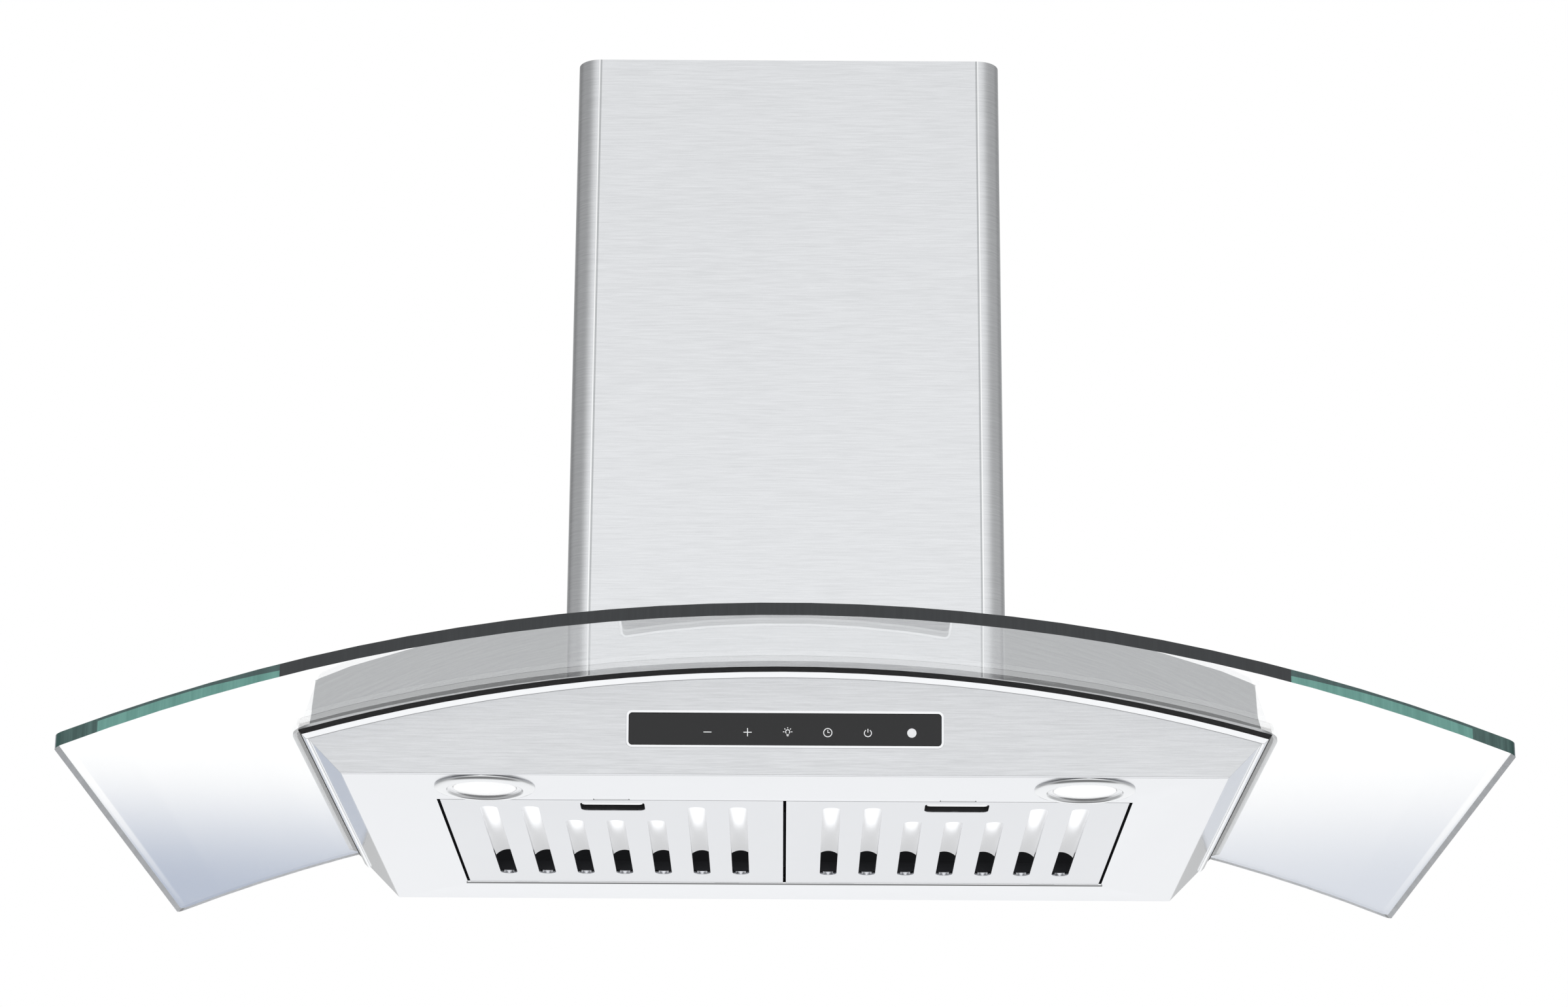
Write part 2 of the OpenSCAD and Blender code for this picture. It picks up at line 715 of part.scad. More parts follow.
module latch_pocket(s) translate([s * filter_x, pocket_y, filter_t]) difference() {
    linear_extrude(11) rounded(pocket_w + 2 * pocket_wall, pocket_d + 2 * pocket_wall, 6);
    translate([0, 0, -eps]) linear_extrude(10) rounded(pocket_w, pocket_d, 5);
    // Tongue's way out at the front, and the spring's seat at the back
    box_xy(-tongue_w / 2 - 1, tongue_w / 2 + 1, -pocket_d, 0,
        tongue_z - filter_t - 0.5, tongue_z - filter_t + tongue_t + 0.5);
}
spring_r = 2.2;
spring_wire = 0.5;
bar_y = -pocket_d / 2 + 0.6;
bar_lift = 0.2;
module latch_slider(s) translate([s * filter_x, pocket_y, 0]) {
    // Finger bar, almost level with the filter's face
    translate([0, bar_y + finger_bar / 2, bar_lift]) linear_extrude(tongue_z + tongue_t - bar_lift)
        rounded(pocket_w - 2, finger_bar, 3);
    // Tongue with a sloping nose
    difference() {
        box_xy(-tongue_w / 2, tongue_w / 2, -pocket_in - filter_front_gap - tongue_reach + 0.8,
            bar_y + eps, tongue_z, tongue_z + tongue_t);
        translate([0, -pocket_in - filter_front_gap - tongue_reach + 0.8, tongue_z + tongue_t])
            rotate([35, 0, 0]) cube([tongue_w + 2, 6, 1.6], center = true);
    }
}
// A coil of wire along -y from the pocket's back wall, swept as rings of six points
spring_turns = 4;
ring_steps = 12;
module latch_spring(s) {
    l = pocket_d / 2 - (bar_y + finger_bar) - 0.3 - 2 * spring_wire;
    steps = spring_turns * ring_steps;
    points = [for (k = [0:steps], j = [0:5])
        let (a = 360 * k / ring_steps, b = 60 * j, rr = spring_r + spring_wire * cos(b))
        [rr * cos(a), rr * sin(a), l * k / steps + spring_wire * sin(b)]];
    sides = [for (k = [0:steps - 1], j = [0:5])
        let (n = (j + 1) % 6)
        [6 * k + j, 6 * (k + 1) + j, 6 * (k + 1) + n, 6 * k + n]];
    ends = [[5, 4, 3, 2, 1, 0], [for (j = [0:5]) 6 * steps + j]];
    translate([s * filter_x, pocket_y + pocket_d / 2 - 0.15 - spring_wire, tongue_z])
        rotate([90, 0, 0]) polyhedron(points, concat(sides, ends), convexity = 6);
}
module filter_left_tray() color(steel) hung() filter_tray(-1);
module filter_right_tray() color(steel) hung() filter_tray(1);
module filter_left_baffles() color(steel) hung() filter_baffles(-1);
module filter_right_baffles() color(steel) hung() filter_baffles(1);
module filter_left_hooks() color(steel) hung() filter_hooks(-1);
module filter_right_hooks() color(steel) hung() filter_hooks(1);
module latch_left_pocket() color(black_plastic) hung() latch_pocket(-1);
module latch_right_pocket() color(black_plastic) hung() latch_pocket(1);
module latch_left_slider() color(chrome) hung() latch_slider(-1);
module latch_right_slider() color(chrome) hung() latch_slider(1);
module latch_left_spring() color(steel) hung() latch_spring(-1);
module latch_right_spring() color(steel) hung() latch_spring(1);
// Spring leaves on the panel that the tongues snap behind
module latch_strikes() color(steel) hung()
    for (s = [-1, 1]) translate([s * filter_x, -opening_front, 0]) {
        leaf_w = strike_notch - 1;
        box_xy(-leaf_w / 2, leaf_w / 2, -tongue_reach + 0.2, -0.1, 0.1, 0.6);
        box_xy(-leaf_w / 2, leaf_w / 2, -tongue_reach + 0.2, -tongue_reach + 0.7, 0.1, tongue_z - 1);
        box_xy(-leaf_w / 2, leaf_w / 2, -tongue_reach - 9, -tongue_reach + 0.7,
            tongue_z - 1.5, tongue_z - 1);
        box_xy(-leaf_w / 2, leaf_w / 2, -tongue_reach - 9, -tongue_reach - 8.5, sheet_t, tongue_z - 1);
    }

// ---- airbox, wall fixing and electrics ----

module airbox_tube(grow, z0, z1) {
    box_xy(-airbox_w / 2 - grow, airbox_w / 2 + grow, -airbox_d - grow,
        min(0, airbox_back + grow), z0, z1);
}
module at_fixings() {
    for (i = [-1, 1], k = [-1, 1])
        translate([i * fix_w / 2, 0, fix_height + k * fix_h / 2]) rotate([90, 0, 0]) children();
}
module airbox() color(galvanised) hung() {
    difference() {
        airbox_tube(0, 40, airbox_top + sheet_t);
        airbox_tube(-sheet_t, 30, airbox_top);
        under_arc(seat_r);
        translate([0, collar_y, airbox_top - 5]) cylinder(h = 20, r = collar_r - collar_t, $fn = 128);
        at_fixings() cylinder(h = 30, r = fix_r, center = true);
        // Mains inlet hole for the gland
        translate([airbox_w / 2 - 30, -30, airbox_top - 5]) cylinder(h = 20, r = 8);
    }
    difference() {
        intersection() {
            arc_layer(seat_r, seat_r + sheet_t);
            airbox_tube(airbox_flange, 0, 200);
        }
        airbox_tube(-sheet_t, 0, 300);
        at_airbox_screws() translate([0, 0, seat_r - 5]) cylinder(h = 10, r = airbox_screw_r);
    }
}
module wall_plate() color(galvanised) hung() difference() {
    box_xy(-airbox_w / 2 + 6, airbox_w / 2 - 6, -wall_plate_t, 0,
        fix_height - fix_h / 2 - 22, fix_height + fix_h / 2 + 22);
    at_fixings() cylinder(h = 30, r = fix_r, center = true);
}
module airbox_screws() color(steel) hung() at_airbox_screws()
    translate([0, 0, seat_r + sheet_t + 0.02])
        screw(airbox_screw_r, 8, 2 * airbox_screw_r, airbox_screw_r);

// Outline of the scroll in the Y-Z plane, opening upwards
function scroll_points(t) = concat(
    [for (k = [0:40])
        let (a = 80 - 260 * k / 40, r = t + scroll_r0 + (scroll_r1 - scroll_r0) * k / 40)
        [r * cos(a), r * sin(a)]],
    [
        [-scroll_r1 - t, airbox_top - shaft_z],
        [throat_back + t, airbox_top - shaft_z],
        [throat_back + t, scroll_r0 * sin(80) + t]
    ]
);
module along_shaft(x0, x1) {
    translate([x0, -shaft_wall, shaft_z]) rotate([90, 0, 90]) linear_extrude(x1 - x0) children();
}
module shaft_cylinder(x0, x1, r, fn = 96) {
    translate([x0, -shaft_wall, shaft_z]) rotate([0, 90, 0]) cylinder(h = x1 - x0, r = r, $fn = fn);
}
module scroll_housing() color(black_plastic) hung() difference() {
    half = scroll_in_w / 2;
    along_shaft(-half - scroll_t, half + scroll_t) polygon(scroll_points(scroll_t));
    along_shaft(-half, half) polygon(scroll_points(0));
    // Open throat
    box_xy(-half, half, -shaft_wall - scroll_r1, -shaft_wall + throat_back,
        airbox_top - 20, airbox_top + eps);
    shaft_cylinder(-half - 20, half + 20, inlet_r);
}
// Flared inlet rings, one on each side plate
module inlet_rings() color(black_plastic) hung() for (s = [-1, 1])
    translate([0, -shaft_wall, shaft_z]) rotate([0, 90 * s, 0])
        translate([0, 0, scroll_in_w / 2 + scroll_t]) rotate_extrude($fn = 96) polygon([
            [inlet_r - 1, -wheel_gap / 2 - scroll_t], [inlet_r - 0.1, -wheel_gap / 2 - scroll_t],
            [inlet_r - 0.1, 0], [inlet_r + 6, 0], [inlet_r + 6, 1.5], [inlet_r + 2, 1.5],
            [inlet_r, 1], [inlet_r - 1, -1]
        ]);
motor_end = motor_x0 - 2.5;
module motor_bracket() color(galvanised) hung() {
    difference() {
        shaft_cylinder(motor_end - 2, motor_end, motor_r + 4);
        shaft_cylinder(motor_end - 3, motor_end + 1, bush_r + 4);
    }
    for (a = [90, 210, 330]) translate([0, -shaft_wall, shaft_z]) rotate([a, 0, 0]) {
        translate([motor_end - 2, -7, motor_r]) cube([2, 14, inlet_r + 16 - motor_r]);
        translate([motor_end - 2, -7, inlet_r + 8]) cube([motor_x0 - motor_end + 2, 14, 8]);
    }
}
module motor_housing() color(galvanised) hung() difference() {
    shaft_cylinder(motor_end, motor_end + motor_l, motor_r);
    shaft_cylinder(motor_end + bush_l, motor_end + motor_l - bush_l, stator_r);
    shaft_cylinder(motor_end - 1, motor_end + motor_l + 1, bush_r);
}
module motor_stator() color([0.55, 0.35, 0.2]) hung() difference() {
    shaft_cylinder(motor_end + bush_l + 3, motor_end + motor_l - bush_l - 3, stator_r);
    shaft_cylinder(motor_end + bush_l, motor_end + motor_l - bush_l, rotor_r + rotor_gap);
    // Winding slots
    for (a = [0:30:330]) translate([motor_end, -shaft_wall, shaft_z]) rotate([a, 0, 0])
        translate([0, -1.5, rotor_r]) cube([motor_l, 3, 9]);
}
module motor_bushes() color([0.72, 0.53, 0.3]) hung()
    for (x = [motor_end, motor_end + motor_l - bush_l]) difference() {
        shaft_cylinder(x, x + bush_l, bush_r);
        shaft_cylinder(x - 1, x + bush_l + 1, shaft_r + shaft_clearance);
    }
hub_l = 14;
module motor_shaft() color(steel) hung()
    shaft_cylinder(motor_end + 1, hub_l + 4, shaft_r);
module motor_rotor() color([0.5, 0.5, 0.52]) hung() difference() {
    shaft_cylinder(motor_end + bush_l + 3, motor_end + motor_l - bush_l - 3, rotor_r);
    shaft_cylinder(motor_end, motor_end + motor_l, shaft_r);
}
blade_l = 12;
module impeller() color(galvanised) hung() difference() {
    union() {
        // Hub disc and boss
        shaft_cylinder(0, 2, wheel_r);
        shaft_cylinder(0, hub_l, 10);
        // End rings
        for (x = [-wheel_w / 2, wheel_w / 2 - 3]) difference() {
            shaft_cylinder(x, x + 3, wheel_r);
            shaft_cylinder(x - 1, x + 4, wheel_r - blade_l);
        }
        // Forward-curved blades, as flats set at an angle
        for (i = [0:blade_count - 1]) translate([-wheel_w / 2, -shaft_wall, shaft_z])
            rotate([i * 360 / blade_count, 0, 0]) translate([0, 0, wheel_r - blade_l + 0.6])
                rotate([25, 0, 0]) cube([wheel_w, 0.8, blade_l - 0.6]);
    }
    shaft_cylinder(-1, hub_l + 1, shaft_r);
}

capacitor_x = airbox_w / 2 - 24;
module capacitor() color([0.9, 0.9, 0.88]) hung()
    translate([capacitor_x, -60, 110]) {
        cylinder(h = 60, r = 16);
        for (x = [-5, 5]) translate([x - 0.4, -3, 60]) cube([0.8, 6, 8]);
    }
module capacitor_clip() color(galvanised) hung() difference() {
    union() {
        translate([capacitor_x, -60, 130]) cylinder(h = 12, r = 17.2);
        box_xy(capacitor_x, airbox_w / 2 - sheet_t, -67, -53, 130, 142);
    }
    translate([capacitor_x, -60, 100]) cylinder(h = 60, r = 16);
}
power_x = airbox_w / 2 - sheet_t - 38;
module power_box() color(black_plastic) hung() difference() {
    box_xy(power_x, airbox_w / 2 - sheet_t, -210, -110, 215, 310);
    box_xy(power_x - eps, airbox_w / 2 - sheet_t - 2, -208, -112, 217, 308);
    // Cable entry
    translate([power_x + 20, -130, 309]) cylinder(h = 10, r = 6, center = true);
}
module power_box_lid() color([0.2, 0.2, 0.22]) hung() {
    box_xy(power_x - 2, power_x, -210, -110, 215, 310);
    // Driver board fixed to the lid
    box_xy(power_x, power_x + 1.6, -204, -116, 221, 304);
    for (y = [-190, -165, -138]) box_xy(power_x + 1.6, power_x + 18, y, y + 14, 235, 262);
}
module cable_gland() color(black_plastic) hung() translate([airbox_w / 2 - 30, -30, airbox_top + sheet_t]) {
    difference() {
        union() {
            translate([0, 0, -8]) cylinder(h = 8, r = 8);
            cylinder(h = 5, r = 12, $fn = 6);
            translate([0, 0, 5]) cylinder(h = 9, r1 = 10, r2 = 7, $fn = 48);
            translate([0, 0, -8]) cylinder(h = 4, r = 11, $fn = 6);
        }
        translate([0, 0, -10]) cylinder(h = 40, r = 4);
    }
}

// ---- duct collar and dampers ----

pin_z = collar_z + damper_z;
seat_lip = 5;
seat_gap = 0.2;
barrel_r = damper_pin_r + 2;
module duct_collar() color(black_plastic) hung() {
    in_r = collar_r - collar_t;
    difference() {
        translate([0, collar_y, collar_z]) difference() {
            union() {
                cylinder(h = collar_l, r = collar_r, $fn = 180);
                // Foot on the airbox
                linear_extrude(2) square([2 * collar_r + 8, 2 * collar_r + 8], center = true);
                translate([0, 0, 0]) cylinder(h = 2, r = collar_r + 4);
            }
            translate([0, 0, -eps]) cylinder(h = collar_l + 1, r = in_r, $fn = 180);
        }
        translate([0, collar_y, pin_z]) rotate([90, 0, 0])
            cylinder(h = 3 * collar_r, r = damper_pin_r, center = true);
    }
    // Lip that the flaps rest on, cut away round the pin
    difference() {
        translate([0, collar_y, pin_z - flap_t / 2 - seat_gap - 1.5])
            cylinder(h = 1.5, r = in_r + 0.2, $fn = 180);
        translate([0, collar_y, pin_z - 20]) cylinder(h = 40, r = in_r - seat_lip, $fn = 180);
        box_xy(-barrel_r - 1, barrel_r + 1, collar_y - 200, collar_y + 200, pin_z - 20, pin_z + 20);
    }
}
module damper_pin() color(steel) hung()
    translate([0, collar_y, pin_z]) rotate([90, 0, 0])
        cylinder(h = 2 * collar_r, r = damper_pin_r, center = true);
barrel_l = (collar_r - collar_t) / 2.5;
module damper_flap(s) translate([0, collar_y, pin_z]) {
    flap_r = collar_r - collar_t - 1.2;
    difference() {
        union() {
            intersection() {
                translate([0, 0, -flap_t / 2]) cylinder(h = flap_t, r = flap_r, $fn = 180);
                box_xy(min(s * (barrel_r + 0.5), s * 200), max(s * (barrel_r + 0.5), s * 200),
                    -200, 200, -10, 10);
            }
            for (k = [0, 1]) {
                y0 = s < 0 ? (k * 2 - 2) * barrel_l + 0.3 : (k * 2 - 1) * barrel_l + 0.3;
                y1 = y0 + barrel_l - 0.6;
                translate([0, y1, 0]) rotate([90, 0, 0]) cylinder(h = y1 - y0, r = barrel_r);
                box_xy(min(0, s * (barrel_r + 1)), max(0, s * (barrel_r + 1)), y0, y1,
                    -flap_t / 2, flap_t / 2);
            }
        }
        rotate([90, 0, 0]) cylinder(h = 300, r = damper_pin_r + damper_clearance, center = true);
    }
}
module damper_left_flap() color(galvanised) hung() damper_flap(-1);
module damper_right_flap() color(galvanised) hung() damper_flap(1);

// ---- chimneys ----

// Outline of a chimney: round front corners, open at the wall between its flanges
module chimney_2d(w, d, r) {
    translate([-w / 2, -d + r]) square([w, d - r]);
    translate([-w / 2 + r, -d]) square([w - 2 * r, r + 1]);
    for (s = [-1, 1]) translate([s * (w / 2 - r), -d + r]) circle(r, $fn = 128);
}
module chimney(w, d, r, back, z0, z1) {
    difference() {
        translate([0, 0, z0]) linear_extrude(z1 - z0) chimney_2d(w, d, r);
        translate([0, 0, z0 - eps]) linear_extrude(z1 - z0 + 2 * eps)
            translate([0, -back - sheet_t])
                chimney_2d(w - 2 * sheet_t, d - 2 * sheet_t - back, r - sheet_t);
        box_xy(-w / 2 + chimney_flange, w / 2 - chimney_flange, -back - 2 * sheet_t, 50, z0 - eps, z1 + eps);
        box_xy(-w, w, -back, 50, z0 - eps, z1 + eps);
    }
}
chimney_screw_z = [230, 290];
chimney_screw_r = 1.5;
chimney_screw_x = chimney_w / 2 - sheet_t - 7;
module lower_chimney() color(steel) hung() difference() {
    chimney(chimney_w, chimney_d, chimney_r, 0, 40, chimney_top);
    under_arc(plate_top_r + 0.3);
    for (s = [-1, 1], z = chimney_screw_z) translate([s * chimney_screw_x, 0, z])
        rotate([90, 0, 0]) cylinder(h = 20, r = chimney_screw_r, center = true, $fn = 32);
}
// Brackets off the airbox's sides, and the screws that hold the lower chimney to them
module chimney_fixings() color(galvanised) hung() for (s = [-1, 1], z = chimney_screw_z) {
    x0 = airbox_w / 2;
    x1 = chimney_w / 2 - sheet_t - 1;
    difference() {
        union() {
            box_xy(min(s * x0, s * x1), max(s * x0, s * x1), -sheet_t - 1.5, -sheet_t, z - 8, z + 8);
            box_xy(min(s * x0, s * (x0 + 1.5)), max(s * x0, s * (x0 + 1.5)), -22, -sheet_t, z - 8, z + 8);
        }
        translate([s * chimney_screw_x, 0, z]) rotate([90, 0, 0])
            cylinder(h = 20, r = chimney_screw_r, center = true, $fn = 32);
    }
    translate([s * chimney_screw_x, -sheet_t - 1.52, z]) rotate([90, 0, 0]) difference() {
        union() {
            translate([0, 0, -2.3]) cylinder(h = 2.3, r = chimney_screw_r, $fn = 32);
            cylinder(h = 0.4, r = 2 * chimney_screw_r, $fn = 32);
        }
        for (a = [0, 90]) rotate(a) translate([-1.6, -0.3, 0.2]) cube([3.2, 0.6, 1]);
    }
}
module upper_chimney() color(steel) hung()
    chimney(upper_w, upper_d, chimney_r - sheet_t - chimney_gap, upper_back, upper_bottom, upper_top);
module ceiling_bracket() color(galvanised) hung() {
    z0 = upper_top - bracket_h - 6;
    z1 = upper_top - 6;
    x_arm = upper_w / 2 - sheet_t;
    x_back = upper_w / 2 - chimney_flange - 0.5;
    difference() {
        union() {
            box_xy(-x_back, x_back, -bracket_t, 0, z0, z1);
            for (s = [-1, 1]) {
                // Step past the flanges, then an arm along the side wall
                box_xy(min(s * x_back, s * (x_back - bracket_t)), max(s * x_back, s * (x_back - bracket_t)),
                    -upper_back - sheet_t - bracket_t - 0.5, 0, z0, z1);
                box_xy(min(s * (x_back - bracket_t), s * x_arm), max(s * (x_back - bracket_t), s * x_arm),
                    -upper_back - sheet_t - bracket_t - 0.5, -upper_back - sheet_t - 0.5, z0, z1);
                box_xy(min(s * (x_arm - bracket_t), s * x_arm), max(s * (x_arm - bracket_t), s * x_arm),
                    -60, -upper_back - sheet_t - 0.5, z0, z1);
            }
        }
        for (s = [-1, 1]) translate([s * ceiling_w / 2, 0, (z0 + z1) / 2]) rotate([90, 0, 0])
            cylinder(h = 20, r = ceiling_r, center = true);
    }
}

canopy_shell();
front_panel();
bottom_panel();
trim_moulding();
glass_gasket();
glass_canopy();
clamp_pad();
clamp_plate();
clamp_bolts();
glass_grommets();
control_bezel();
control_glass();
control_board();
control_cover();
lamp_left_trim();
lamp_left_lens();
lamp_left_housing();
lamp_right_trim();
lamp_right_lens();
lamp_right_housing();
lamp_clips();
filter_rod();
latch_strikes();
filter_left_tray();
filter_left_baffles();
filter_left_hooks();
latch_left_pocket();
latch_left_slider();
latch_left_spring();
filter_right_tray();
filter_right_baffles();
filter_right_hooks();
latch_right_pocket();
latch_right_slider();
latch_right_spring();
airbox();
wall_plate();
airbox_screws();
scroll_housing();
inlet_rings();
motor_bracket();
motor_housing();
motor_stator();
motor_bushes();
motor_shaft();
motor_rotor();
impeller();
capacitor();
capacitor_clip();
power_box();
power_box_lid();
cable_gland();
duct_collar();
damper_pin();
damper_left_flap();
damper_right_flap();
lower_chimney();
chimney_fixings();
upper_chimney();
ceiling_bracket();
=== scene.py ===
"""Looks, lights and camera for a wall chimney hood with an arched glass canopy.

Every length is in metres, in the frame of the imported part: X across the wall, Y into
the wall and Z up, with the origin in the middle of the wall fixing holes.
"""

import json
import logging
import math
from collections.abc import Callable, Iterable, Sequence
from dataclasses import dataclass, field
from enum import Enum

import bmesh
import bpy
from mathutils import Matrix, Vector

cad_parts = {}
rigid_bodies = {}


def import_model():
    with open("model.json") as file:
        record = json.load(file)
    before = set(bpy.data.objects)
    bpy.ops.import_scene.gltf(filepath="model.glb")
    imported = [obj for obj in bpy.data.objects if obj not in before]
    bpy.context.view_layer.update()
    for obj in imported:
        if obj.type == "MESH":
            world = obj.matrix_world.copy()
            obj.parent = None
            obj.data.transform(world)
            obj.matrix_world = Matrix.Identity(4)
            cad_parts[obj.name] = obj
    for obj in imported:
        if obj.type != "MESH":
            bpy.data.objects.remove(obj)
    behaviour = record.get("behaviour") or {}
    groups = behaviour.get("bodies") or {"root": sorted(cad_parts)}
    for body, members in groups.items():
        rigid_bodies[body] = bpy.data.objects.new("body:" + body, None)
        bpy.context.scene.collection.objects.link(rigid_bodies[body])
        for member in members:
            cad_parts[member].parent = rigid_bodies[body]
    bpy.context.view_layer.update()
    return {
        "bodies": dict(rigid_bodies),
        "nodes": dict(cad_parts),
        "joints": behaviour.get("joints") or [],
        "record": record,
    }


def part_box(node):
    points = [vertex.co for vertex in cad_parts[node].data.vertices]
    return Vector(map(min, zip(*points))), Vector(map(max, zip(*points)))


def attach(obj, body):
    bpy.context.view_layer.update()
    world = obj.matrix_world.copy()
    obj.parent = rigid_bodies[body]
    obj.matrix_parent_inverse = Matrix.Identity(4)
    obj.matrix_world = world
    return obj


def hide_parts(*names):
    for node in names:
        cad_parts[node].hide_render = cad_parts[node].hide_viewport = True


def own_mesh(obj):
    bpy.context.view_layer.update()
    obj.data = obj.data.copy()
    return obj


LOG = logging.getLogger("hood")
MM = 0.001
Colour = tuple[float, float, float]
Point2 = tuple[float, float]
Edge = bmesh.types.BMEdge
Face = bmesh.types.BMFace
Shape = bmesh.types.BMesh
Material = bpy.types.Material
Node = bpy.types.Node
Object = bpy.types.Object
Socket = bpy.types.NodeSocket
Tree = bpy.types.NodeTree


class Side(Enum):
    """The two sides of the hood, as a viewer in the room names them."""

    LEFT = -1
    RIGHT = 1

    @property
    def word(self) -> str:
        """The side's name in node names."""
        return self.name.lower()


class Grain(Enum):
    """Direction of the brushed grain, as cycles per metre along X, Y and Z."""

    LEVEL = (42.0, 42.0, 950.0)
    ACROSS = (42.0, 950.0, 950.0)
    FINE_ACROSS = (60.0, 1500.0, 300.0)


# ---- shader building blocks ----


class Graph:
    """A node tree, with short ways to add nodes and join them."""

    def __init__(self, tree: Tree) -> None:
        """Wraps a tree.

        Args:
            tree: the node tree that nodes are added to.
        """
        self.tree = tree

    def add(self, kind: str, **values: object) -> Node:
        """Adds one node.

        Args:
            kind: the node's type name.
            **values: its properties; a value for a socket has the socket's name with
                spaces as underscores, and a socket as its value is linked.

        Returns:
            The new node.
        """
        node = self.tree.nodes.new(kind)
        self.set(node, **values)
        return node

    def set(self, node: Node, **values: object) -> None:
        """Feeds a node's inputs, and sets its properties.

        Args:
            node: the node.
            **values: as for add.
        """
        for key, value in values.items():
            name = key.replace("_", " ")
            if name in node.inputs:
                self.feed(node.inputs[name], value)
            else:
                setattr(node, key, value)

    def feed(self, socket: Socket, value: object) -> None:
        """Links a socket, or sets its value.

        Args:
            socket: the input to feed.
            value: an output socket, or a plain value.
        """
        if isinstance(value, Socket):
            self.tree.links.new(value, socket)
        else:
            socket.default_value = value

    def sum(self, operation: str, first: object, second: object) -> Socket:
        """Adds one Math node.

        Args:
            operation: the node's operation.
            first: its first value or socket.
            second: its second value or socket.

        Returns:
            The node's output.
        """
        node = self.tree.nodes.new("ShaderNodeMath")
        node.operation = operation
        self.feed(node.inputs[0], first)
        self.feed(node.inputs[1], second)
        return node.outputs[0]

    def scale(self, colour: Socket, factor: object) -> Socket:
        """Brightens or darkens a colour by a factor.

        Args:
            colour: the colour's socket.
            factor: the factor or its socket.

        Returns:
            The new colour's socket.
        """
        node = self.add("ShaderNodeVectorMath", operation="SCALE", Scale=factor)
        self.feed(node.inputs[0], colour)
        return node.outputs[0]

    def mix(self, factor: object, first: object, second: object) -> Socket:
        """Adds one colour Mix node.

        Args:
            factor: share of the second colour.
            first: the first colour or socket.
            second: the second colour or socket.

        Returns:
            The mixed colour's socket.
        """
        node = self.add("ShaderNodeMix", data_type="RGBA")
        self.feed(node.inputs[0], factor)
        self.feed(node.inputs[6], first)
        self.feed(node.inputs[7], second)
        return node.outputs[2]

    def spread(
        self, value: object, low: float, high: float, to_low: float = 0.0, to_high: float = 1.0
    ) -> Socket:
        """Maps a range of values smoothly to another range, with the ends held.

        Args:
            value: the socket to map.
            low: start of the range that is read.
            high: end of the range that is read.
            to_low: value given at the start.
            to_high: value given at the end.

        Returns:
            The mapped value's socket.
        """
        node = self.add(
            "ShaderNodeMapRange",
            interpolation_type="SMOOTHSTEP",
            Value=value,
            From_Min=low,
            From_Max=high,
            To_Min=to_low,
            To_Max=to_high,
        )
        return node.outputs["Result"]


def rgba(colour: Colour) -> tuple[float, float, float, float]:
    """A colour with full alpha."""
    return (*colour, 1.0)


@dataclass(frozen=True)
class Pin:
    """One socket of a node group."""

    name: str
    kind: str = "NodeSocketFloat"
    value: object = None


VECTOR, COLOUR = "NodeSocketVector", "NodeSocketColor"
# The middle of what a noise or a pointiness gives
MID = 0.5
# How much the grain changes the gloss
GRAIN_GLOSS = 0.12


def new_group(name: str, inputs: Sequence[Pin], outputs: Sequence[Pin]) -> tuple[Graph, Node, Node]:
    """Makes an empty shader node group.

    Args:
        name: the group's name.
        inputs: its input sockets.
        outputs: its output sockets.

    Returns:
        The group's graph, its input node and its output node.
    """
    tree = bpy.data.node_groups.new(name, "ShaderNodeTree")
    for pins, way in ((inputs, "INPUT"), (outputs, "OUTPUT")):
        for pin in pins:
            socket = tree.interface.new_socket(pin.name, in_out=way, socket_type=pin.kind)
            if pin.value is not None:
                socket.default_value = pin.value
    graph = Graph(tree)
    return graph, graph.add("NodeGroupInput"), graph.add("NodeGroupOutput")


def brushed_group() -> Tree:
    """Fine drawn lines on sheet metal, with a cloudy change of tone under them.

    Returns:
        A group that gives Color, Roughness and Height.
    """
    graph, given, out = new_group(
        "Brushed grain",
        [
            Pin("Vector", VECTOR),
            Pin("Frequency", VECTOR, Grain.LEVEL.value),
            Pin("Color", COLOUR, rgba((0.7, 0.7, 0.7))),
            Pin("Contrast", value=0.1),
            Pin("Roughness", value=0.25),
            Pin("Cloud", value=0.02),
        ],
        [Pin("Color", COLOUR), Pin("Roughness"), Pin("Height")],
    )
    where = graph.add("ShaderNodeVectorMath", operation="MULTIPLY")
    graph.feed(where.inputs[0], given.outputs["Vector"])
    graph.feed(where.inputs[1], given.outputs["Frequency"])
    lines = graph.add(
        "ShaderNodeTexNoise", Vector=where.outputs[0], Scale=1.0, Detail=4.0, Roughness=0.62
    )
    cloud = graph.add("ShaderNodeTexNoise", Vector=given.outputs["Vector"], Scale=5.0, Detail=2.0)
    fine = graph.sum("SUBTRACT", lines.outputs["Fac"], MID)
    soft = graph.sum("SUBTRACT", cloud.outputs["Fac"], MID)
    shade = graph.sum(
        "ADD",
        graph.sum("MULTIPLY", fine, given.outputs["Contrast"]),
        graph.sum("MULTIPLY", soft, given.outputs["Cloud"]),
    )
    tone = graph.sum("ADD", shade, 1.0)
    uneven = graph.sum("MULTIPLY", fine, GRAIN_GLOSS)
    graph.set(
        out,
        Color=graph.scale(given.outputs["Color"], tone),
        Roughness=graph.sum("ADD", given.outputs["Roughness"], uneven),
        Height=lines.outputs["Fac"],
    )
    return graph.tree


